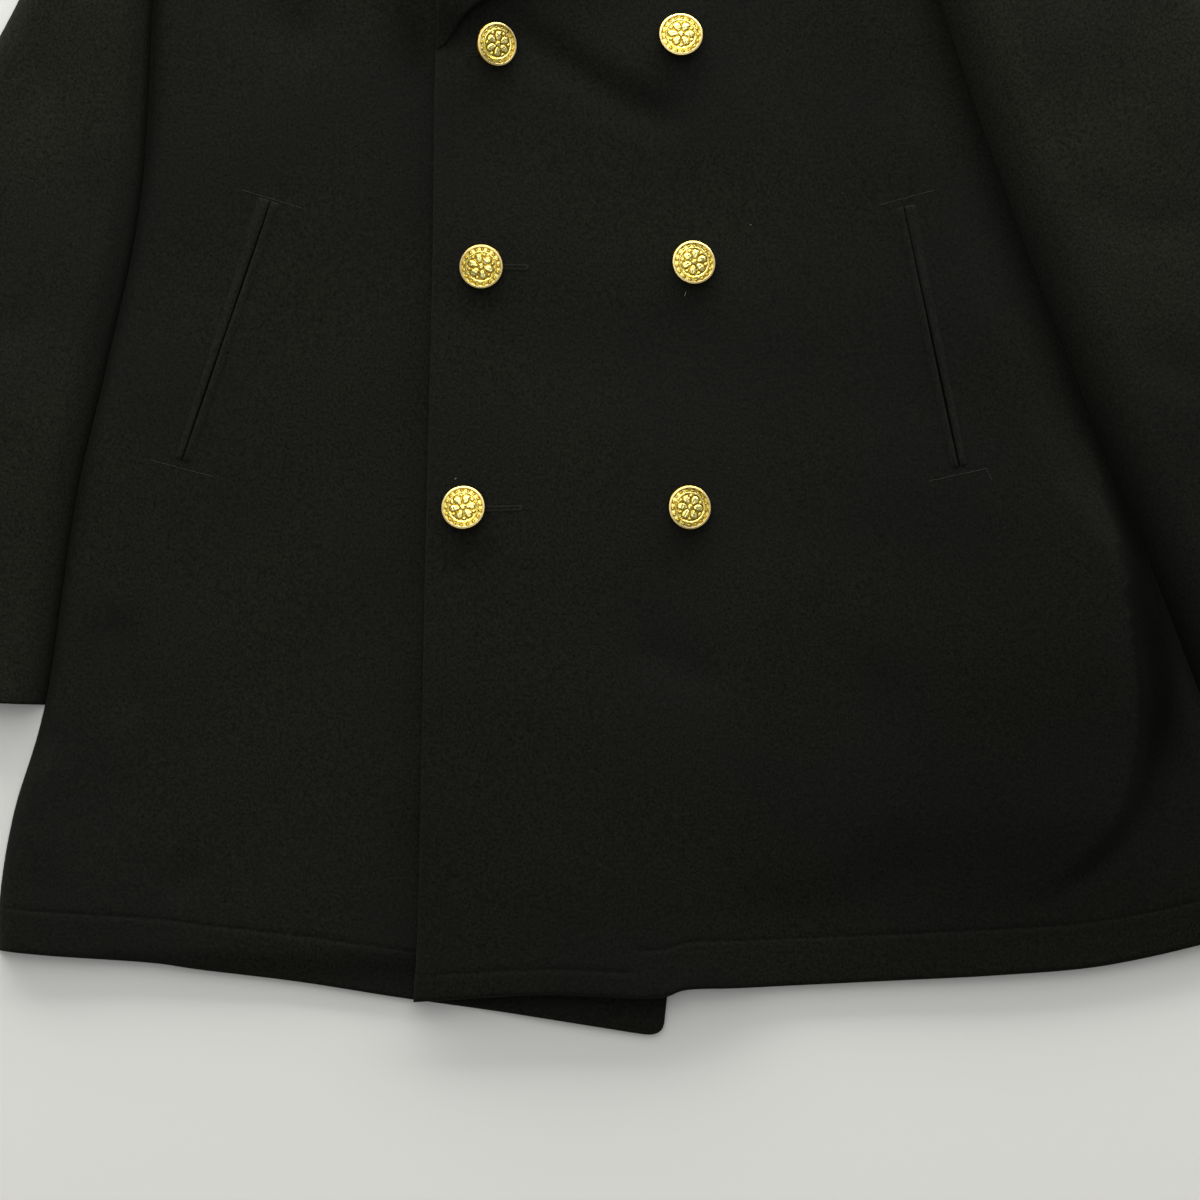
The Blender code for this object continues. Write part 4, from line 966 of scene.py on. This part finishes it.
def makeSleeve(side, bodySide):
    # ruled between the inner and outer folds; height: the crown, rising from the head, times a quarter
    # round in from both folds; round the armhole the inner fold stops at the seam's height instead. The
    # under panel is ruled between the same folds, drawn in. Returns the top panel's outer face
    s, mine, wall = sleeves, sleeves[side], sleeves["wall"]
    line = bodySide[::-1]
    below = int(np.argmax(line[:, 1] < mine["cuff"]))
    share = (line[below - 1, 1] - mine["cuff"]) / (line[below - 1, 1] - line[below, 1])
    end = line[below - 1] + (line[below] - line[below - 1]) * share
    innerLine = np.vstack([line[:below], [end]]) - (np.sign(line[:, 0].sum()) * s["tucked"], 0)
    outerLine = smoothLine(mine["outer"])
    ends = [np.stack([innerLine[k], outerLine[k]]) for k in (0, -1)]
    length = runOf(innerLine)[-1]
    plan, away = patchGrid(*ends, innerLine, outerLine, length, s["rows"], s["columns"])
    fromInner, fromOuter, fromHead, fromCuff = away
    x, y = plan[..., 0], plan[..., 1]
    width, run = fromInner + fromOuter, fromHead / length
    seam = smoothStep(*armholeStart, y[:, :1])
    crown = s["headCrown"] + (s["crown"] - s["headCrown"]) * smoothStep(*s["crownRise"], run)
    crown = crown * (1 + s["arch"] * np.sin(np.pi * fromInner / width))
    crown = crown - s["cuffSink"] * smoothStep(*s["cuffFall"], run)
    crown = crown + foldsOn(x, y, mine["folds"]) + unevenness(x, y, mine["seed"], *s["uneven"])
    innerRoll = slopedRound(fromInner, np.minimum(mine["innerRoll"], edgeShare * width), s["innerSlope"])
    atSeam = seamHeight / crown + (1 - seamHeight / crown) * innerRoll
    z = crown * quarter(fromOuter, np.minimum(s["outerRoll"], edgeShare * width))
    z = z * (innerRoll * (1 - seam) + atSeam * seam) * quarter(fromHead, s["headRoll"])
    fall = roundedEdge(fromCuff, wall) + roundedEdge(fromInner, seamRound) * seam
    outer, inner = panelFaces(np.dstack([x, y, z]), wall, z - fall, fall * (z > wall), [np.s_[-1]])
    name, node = "sleeve" + side.capitalize(), "sleeve_" + side
    top = clothShell(name + "Top", outer, inner, sleeveWool[side], [node + "_top"], mine["cut"])
    # painted shade beside the inner fold, and by the ramps along y
    amount, reach = mine["foldShade"]
    paintShade(top, plan, mine["shadeRamps"], amount * bell(fromInner, reach))

    innerFold, outerFold, keep = plan[:, 0], plan[:, -1], fromHead[:, 0] > s["underStart"]
    way = (outerFold - innerFold) / width[:, :1]
    shares = sharesFor([s["underWidth"]], *s["underColumns"])[0]
    layers = []
    for inset in s["insets"]:
        near = innerFold + way * np.where(seam > 0.5, 2 * seamGap, inset)
        far = outerFold - way * inset
        layers.append((near[:, None] + (far - near)[:, None] * shares[None, :, None])[keep])
    edge = np.minimum(np.minimum(shares, 1 - shares)[None] * s["underWidth"], fromCuff[keep, :1])
    flatShell(name + "Under", *layers, roundedEdge(edge, wall), wall, sleeveWool[side], [node + "_under"],
              mine["underCut"])
    return outer


makeSleeve("right", rightOutline["side"])
leftSleeve = makeSleeve("left", leftOutline["side"])
print("sleeves made")

# jetted hand pockets: two lips of cloth along a slanted slit, and a row of stitches across each end
pockets = {
    "right": {
        "slit": ((-173.1, 455.2), (-223.9, 307.0)), "widths": (5.6, 8.0, 4.6),
        "gaps": (0.3, 0.9, 0.55, 0.9, 0.4),
        "bars": [((-189.5, 461.1), (-155.5, 450.9)), ((-241.6, 307.4), (-206.0, 297.9))],
    },
    "left": {
        "slit": ((186.9, 451.8), (218.5, 303.2)), "widths": (4.9, 7.4, 4.9),
        "gaps": (0.25, 0.45, 0.9, 1.15, 0.8),
        "bars": [((173.1, 452.5), (203.9, 460.8)), ((201.3, 295.4), (233.5, 302.4), (236.9, 296.0))],
    },
    "rise": 1.2, "sink": 0.35, "seamShade": (0.85, 0.3),  # amount of painted shadow along the seam of the outer and of the inner lip
    "near": (0, 0.4, 1.2, 2.6), "lipTaper": 2.6, "mouthTaper": 2.0,
    "shoulder": 0.34, "lipFall": (0.92, 2.2),  # share of the width that is round; fall and its power
    "lumps": ((0.08, 23), (0.05, 61)),  # height and waves, in radians over the slit's length
    "lipShade": ((0.72, 1), (0, 0.3)),  # shares of the width and of the length over which the painted shadow starts
    "mouthExtra": 0.5, "mouthRise": 0.12, "mouthThick": 0.4,
    "thread": dict(thread, pitch=1.9, length=2.2, width=0.45, sink=0.08),
}


def gapAt(pocket, along):
    # width of the slit, straight between widths given at even shares of its length
    return np.interp(along, np.linspace(0, 1, len(pocket["gaps"])), pocket["gaps"])


def slitLength(pocket):
    # distance between its two ends
    return np.linalg.norm(np.subtract(*pocket["slit"]))


def slitTaper(pocket, along, radius):
    # 0 at both ends of the slit, rising as a quarter round to 1 at the radius
    return quarter(np.minimum(along, 1 - along) * slitLength(pocket), radius)


def slitPlan(pocket, along, off):
    # points at shares of the slit's length, moved to its left
    start, end = np.array(pocket["slit"])
    plan = start + (end - start) * along[..., None] + sideways((end - start)[None]) * off[..., None]
    return plan[..., 0], plan[..., 1]


def makeLip(name, node, side, sign, height):
    # u runs from the slit to the seam. The lip rises from the slit as a quarter round, falls slowly to
    # the seam, is tapered and lumpy along its length, and is sunk a little into the cloth
    mine, near = pockets[side], pockets["near"]
    isOuter = (sign > 0) == (side == "left")
    width = mine["widths"][1:] if isOuter else mine["widths"][:1] * 2
    along = sharesFor([slitLength(mine)], near, 50, near).T
    u = (1 - np.cos(np.linspace(0, np.pi, 13)))[None] / 2
    off = 0.5 * gapAt(mine, along) + u * np.interp(along, (0, 1), width)
    x, y = slitPlan(mine, along, sign * off)
    taper = slitTaper(mine, along, pockets["lipTaper"])
    (fall, power), (slow, quick), (across, down) = (pockets[key] for key in ("lipFall", "lumps", "lipShade"))
    swell = quarter(u, pockets["shoulder"]) * (1 - fall * u ** power) * taper
    lumps = 1 + slow[0] * np.sin(along * slow[1] + sign) + quick[0] * np.sin(along * quick[1])
    base = onMap(height, x, y) - pockets["sink"]
    outer = np.dstack([x, y, base + 0.05 + (pockets["rise"] + pockets["sink"]) * swell * lumps])
    inner = np.dstack([x, y, base - 0.25 * taper * (swell + 0.1)])
    lip = clothShell(name, outer, inner, jetWool[side], [node])
    # painted shadow along the lip's seam side
    shade = smoothStep(*across, u) * smoothStep(*down, along)
    paintShade(lip, outer, extra=pockets["seamShade"][0 if isOuter else 1] * shade)


def makePocket(side, height):
    # both lips, the bars of thread across the ends, and the mouth: a strip of pocketing painted near black,
    # the painted shadow that shows between the lips, as wide as the gap and rounded off at its ends
    mine, name = pockets[side], "pocket" + side.capitalize()
    for letter, sign in (("A", 1), ("B", -1)):
        makeLip(name + "Jet" + letter, "pocket_%s_jet_%s" % (side, letter.lower()), side, sign, height)
    surface = lambda x, y: onMap(height, x, y)
    rows = [stitchesAlong(np.array(bar, float), surface, 5 + k, pockets["thread"], 0.05)
            for k, bar in enumerate(mine["bars"])]
    stitchMesh(name + "EndStitches", rows, barThread)

    along = np.linspace(0, 1, 60)[:, None]
    half = (gapAt(mine, along) / 2 + pockets["mouthExtra"]) * slitTaper(mine, along, pockets["mouthTaper"])
    x, y = slitPlan(mine, along, np.linspace(-1, 1, 5) * half)
    z = onMap(height, x, y) + pockets["mouthRise"]
    low = z - pockets["mouthThick"]
    clothShell(name + "Mouth", np.dstack([x, y, z]), np.dstack([x, y, low]), shadedPocketing)


makePocket("right", rightCover)
makePocket("left", leftCover)
print("pockets made")

# gilt buttons: place, tilt, direction of the raised side and spin as they hang on their shanks
buttons = {
    "diameter": 25.4, "rimClear": 0.1, "around": 120,
    "pressedIn": 1.5,  # how deep the shank's foot is pressed into the nap
    "places": [
        ("button_1", -46.3, 542.6, 28, 183, 4),
        ("button_2", 59.7, 547.1, 14, 250, 31),
        ("button_3", -52.8, 417.0, 5, 20, -12),
        ("button_4", 66.4, 418.5, 14, 212, 9),
        ("button_5", -62.9, 279.4, 12, 300, 22),
        ("button_6", 63.8, 279.9, 16, 195, -25),
    ],
    # radius share and height in mm from the shank's foot round the back to the outer side of the rim
    "backProfile": [(0.02, 0.0), (0.13, 0.0), (0.18, 0.4), (0.17, 1.2), (0.20, 1.6), (0.42, 1.62),
                    (0.70, 1.7), (0.86, 1.95), (0.95, 2.3), (0.985, 2.6), (1.0, 2.95), (1.0, 3.3)],
    "rimFoot": 3.7, "backDepth": 0.8,  # height where the face starts, and the back's tarnish
    "pellets": 17, "petals": 6,
    # forms of the face: middle and half width of the ring each lies in, as shares of the radius, and
    # its height in mm; the dome rises from domeFoot
    "forms": {"dome": (0, 0.92, 1.7), "rim": (0.93, 0.075, 1), "pellet": (0.785, 0.048, 0.5),
              "rope": (0.665, 0.032, 0.42), "petal": (0.36, 0.21, 0.55), "bead": (0.535, 0.062, 0.4),
              "boss": (0, 0.125, 0.55)},
    "domeFoot": 4.3, "channel": ((0.68, 0.71), (0.895, 0.86), 0.8),  # its two walls and its depth
}


def halfRound(field):
    # sqrt(field), and 0 outside the form, where its field is below 0
    return np.sqrt(np.clip(field, 0, 1))


def buttonRelief(r, a):
    # a plain stamped flower: half-round rim, a sunk ring with pellets, a fine rope, and a dome with
    # broad grooved petals round a boss, beads between their tips and a pebbled ground
    fields = {form: 1 - ((r - middle) / half) ** 2 for form, (middle, half, _) in buttons["forms"].items()}
    turn = (a * buttons["pellets"] / (2 * np.pi)) % 1 - 0.5
    turns, spread = a * buttons["petals"] / (2 * np.pi), 2 * np.pi / buttons["petals"] * r
    beside, between = (((turns + shift) % 1 - 0.5) * spread for shift in (0, 0.5))
    fields["pellet"] = fields["pellet"] - (turn / 0.16) ** 2
    fields["petal"] = fields["petal"] - (beside / (0.25 * r + 0.045)) ** 2
    fields["bead"] = fields["bead"] - (between / buttons["forms"]["bead"][1]) ** 2
    forms = {form: buttons["forms"][form][2] * halfRound(field) for form, field in fields.items()}
    groove = 0.16 * bell(beside, 0.022) * (forms["petal"] > 0.2)
    rope = np.clip(fields["rope"], 0, 1) * (buttons["forms"]["rope"][2] + 0.14 * np.sin(40 * a + 60 * r))
    raised = (forms["petal"] - groove, forms["bead"], forms["boss"], rope, forms["pellet"])
    raised = np.max(np.broadcast_arrays(*raised), axis=0)
    inner, outer, sink = buttons["channel"]
    sunk = -sink * smoothStep(*inner, r) * smoothStep(*outer, r)
    pebble = 0.09 * np.sin(33 * r * np.cos(a) + 1.0) * np.sin(33 * r * np.sin(a)) * (r < 0.62)
    # tarnish and painted shade in a narrow line round each raised form; paler on the open ground
    bands = (("petal", 0.8), ("bead", 1.8), ("pellet", 2.2))
    lines = [bell(fields[form] / band + 0.45, 0.6) for form, band in bands]
    line = np.max(np.broadcast_arrays(*lines), axis=0)
    ground = 0.25 + 0.09 * np.clip(1 - raised / 0.22, 0, 1)
    # painted shade: the rim's outer side is dark brown
    depth = (1 - smoothStep(0.855, 0.885, r)) * (ground + 0.48 * line) + 0.9 * smoothStep(0.95, 0.975, r)
    return buttons["domeFoot"] + forms["dome"] + forms["rim"] + sunk + raised + pebble, depth


def makeButton(name, x, y, tilt, facing, spin, height):
    # back, side and relief are rings of one surface of revolution; the whole disc above the shank's foot
    # is then turned by its tilt towards its facing
    radius, tilt, facing = buttons["diameter"] / 2, math.radians(tilt), math.radians(facing)
    shank = buttons["rimClear"] + radius * math.sin(tilt)
    a = np.linspace(0, 2 * math.pi, buttons["around"], endpoint=False)
    profile = np.array(buttons["backProfile"])
    faceR = 1 - np.linspace(0, 1, 64) * 0.985
    ringR = np.concatenate([profile[:, 0], faceR])[:, None]
    levels, depth = buttonRelief(faceR[:, None], a[None] + math.radians(spin))
    levels[0] = buttons["rimFoot"]
    z = np.vstack([np.repeat(profile[:, 1:], len(a), 1), levels])
    z = z + np.where(z > 1.3, shank, 0)
    rings = np.stack([ringR * radius * np.cos(a), ringR * radius * np.sin(a), z], -1)
    points = np.vstack([rings.reshape(-1, 3), [[0, 0, 0], [0, 0, z[-1].mean()]]])
    lift = np.clip(points[:, 2] - 0.5, 0, 1)
    way = wayAt(facing)
    along = points[:, :2] @ way
    level = points[:, 2] - shank
    turned = along * np.cos(tilt * lift) - np.where(lift > 0, level, 0) * np.sin(tilt * lift)
    risen = along * np.sin(tilt * lift) + level * np.cos(tilt * lift)
    points[:, 2] = np.where(lift > 0, risen + shank, points[:, 2])
    points[:, :2] += (turned - along)[:, None] * way
    points += (x, y, float(onMap(height, x, y)) - buttons["pressedIn"])
    sides, caps = tubeFaces(len(ringR), len(a))
    piece = makeMesh(
        name.replace("_", ""), points, sides.tolist() + caps.tolist(), gilt, [name])
    onBack = buttons["backDepth"]
    marks = [np.full(len(profile) * len(a), onBack), depth.ravel(), [onBack, depth[-1, 0]]]
    setAttribute(piece, "depth", np.concatenate(marks))


for place in buttons["places"]:
    makeButton(*place, leftCover)
print("buttons made")

# worked buttonholes under the buttons at the closing edge: where each starts and ends, y, and its slope
buttonholes = {
    "rows": [(-61.5, -38.0, 537.8, 0.0), (-57.5, -28.0, 416.9, -0.01), (-67.0, -31.5, 278.9, 0.03)],
    "halfGap": 0.95, "pitch": 0.66, "length": 1.9, "width": 0.5, "height": 0.7,
}


def makeButtonholes(height):
    # purl stitches side by side across both lips of the slit, and a fan of them round its inner end
    b, rows = buttonholes, []
    fan = wayAt(np.linspace(-math.pi / 2, math.pi / 2, 9)[1:-1])
    for number, (x0, x1, y, rise) in enumerate(b["rows"]):
        count = int((x1 - x0) / b["pitch"])
        rng = np.random.default_rng(40 + number)
        x = np.linspace(x0, x1, count)
        parts = []
        for sign in (1, -1):
            middle = np.stack([x, y + (x - x0) * rise + sign * b["halfGap"] + rng.normal(0, 0.10, count)], 1)
            parts.append((middle, np.stack([rng.normal(0, 0.12, count), np.ones(count)], 1)))
        parts.append(((x1, y + (x1 - x0) * rise) + b["halfGap"] * fan, fan))
        for middle, ways in parts:
            z = onMap(height, middle[:, 0], middle[:, 1]) + 0.05
            rows.append((np.column_stack([middle, z]), ways, b["length"], b["width"], b["height"]))
    stitchMesh("buttonholeStitches", rows, worksThread)


makeButtonholes(leftCover)

# rows of stitches down the closing edge and along the facing's and the hems' lines. inwards: the turn
# to the left of the hem's way; top and low: y range of the edge's row; start and end: how far in the
# rows along the hem begin and stop; meshes: name, thread, and the seed of each row
stitching = {
    "left": {"inwards": 1, "top": 548, "low": 13.6, "start": 12, "end": 14, "meshes": [
        ("frontLeftFacingStitches", lighterThread, {"facing": 12}),
        ("frontLeftStitches", blackThread, {"edge": 11, "hem": 13, "corner": 14})]},
    "right": {"inwards": -1, "top": 60, "low": -0.4, "start": 16, "end": 12, "meshes": [
        ("frontRightStitches", blackThread, {"facing": 15, "hem": 16, "edge": 17})]},
    "sink": 0.30,
}


def makeTopstitching(side, outline, height):
    # each row is the front's outline moved in to its groove; a short row joins the facing's to the hem's
    mine = stitching[side]
    inwards = mine["inwards"]
    edge, hem = outline["edge"], outline["hem"]
    run = runOf(hem)
    onFacing = hem[(run > mine["start"]) & (run < facingWidth)]
    onHem = hem[(run > facingWidth) & (run < run[-1] - mine["end"])]
    line = movedAside(edge[edge[:, 1] < mine["top"]], -inwards * front["edge"][0])
    lines = {
        "edge": line[line[:, 1] > mine["low"]],
        "facing": movedAside(onFacing, inwards * front["facing"][0]),
        "hem": movedAside(onHem, inwards * front["hem"][0]),
    }
    lines["corner"] = np.vstack([lines["facing"][-1:], lines["hem"][:1]])
    surface = lambda x, y: onMap(height, x, y) - stitching["sink"]
    for name, material, seeds in mine["meshes"]:
        stitchMesh(name, [stitchesAlong(lines[row], surface, seed) for row, seed in seeds.items()], material)


makeTopstitching("left", leftOutline, leftCover)
makeTopstitching("right", rightOutline, rightCover)
print("threads made")

# a few pale fibres that the nap has caught: x, y, length and turn in degrees
lint = {
    "fibres": [(347.4, 504.0, 3.2, 100), (99.7, 440.8, 1.2, 20), (62.6, 401.5, 3.0, 70),
               (-67.8, 296.7, 1.6, 40), (-200.0, 640.0, 2.4, 130), (120.0, 700.0, 2.0, 15)],
    "thick": 0.16, "above": 0.12,
}


def makeLint():
    # each fibre is one thin oval, a few times finer than a stitch, on the nearest known height
    rows = []
    tops = np.vstack([leftSleeve.reshape(-1, 3), np.stack([mapX, mapY, leftCover], -1).reshape(-1, 3)])
    for x, y, length, turn in lint["fibres"]:
        z = tops[np.argmin(np.hypot(tops[:, 0] - x, tops[:, 1] - y)), 2] + lint["above"]
        way = wayAt(np.radians([turn]))
        rows.append((np.array([[x, y, z]]), way, length, lint["thick"], lint["thick"]))
    stitchMesh("lint", rows, paleFibre)


makeLint()
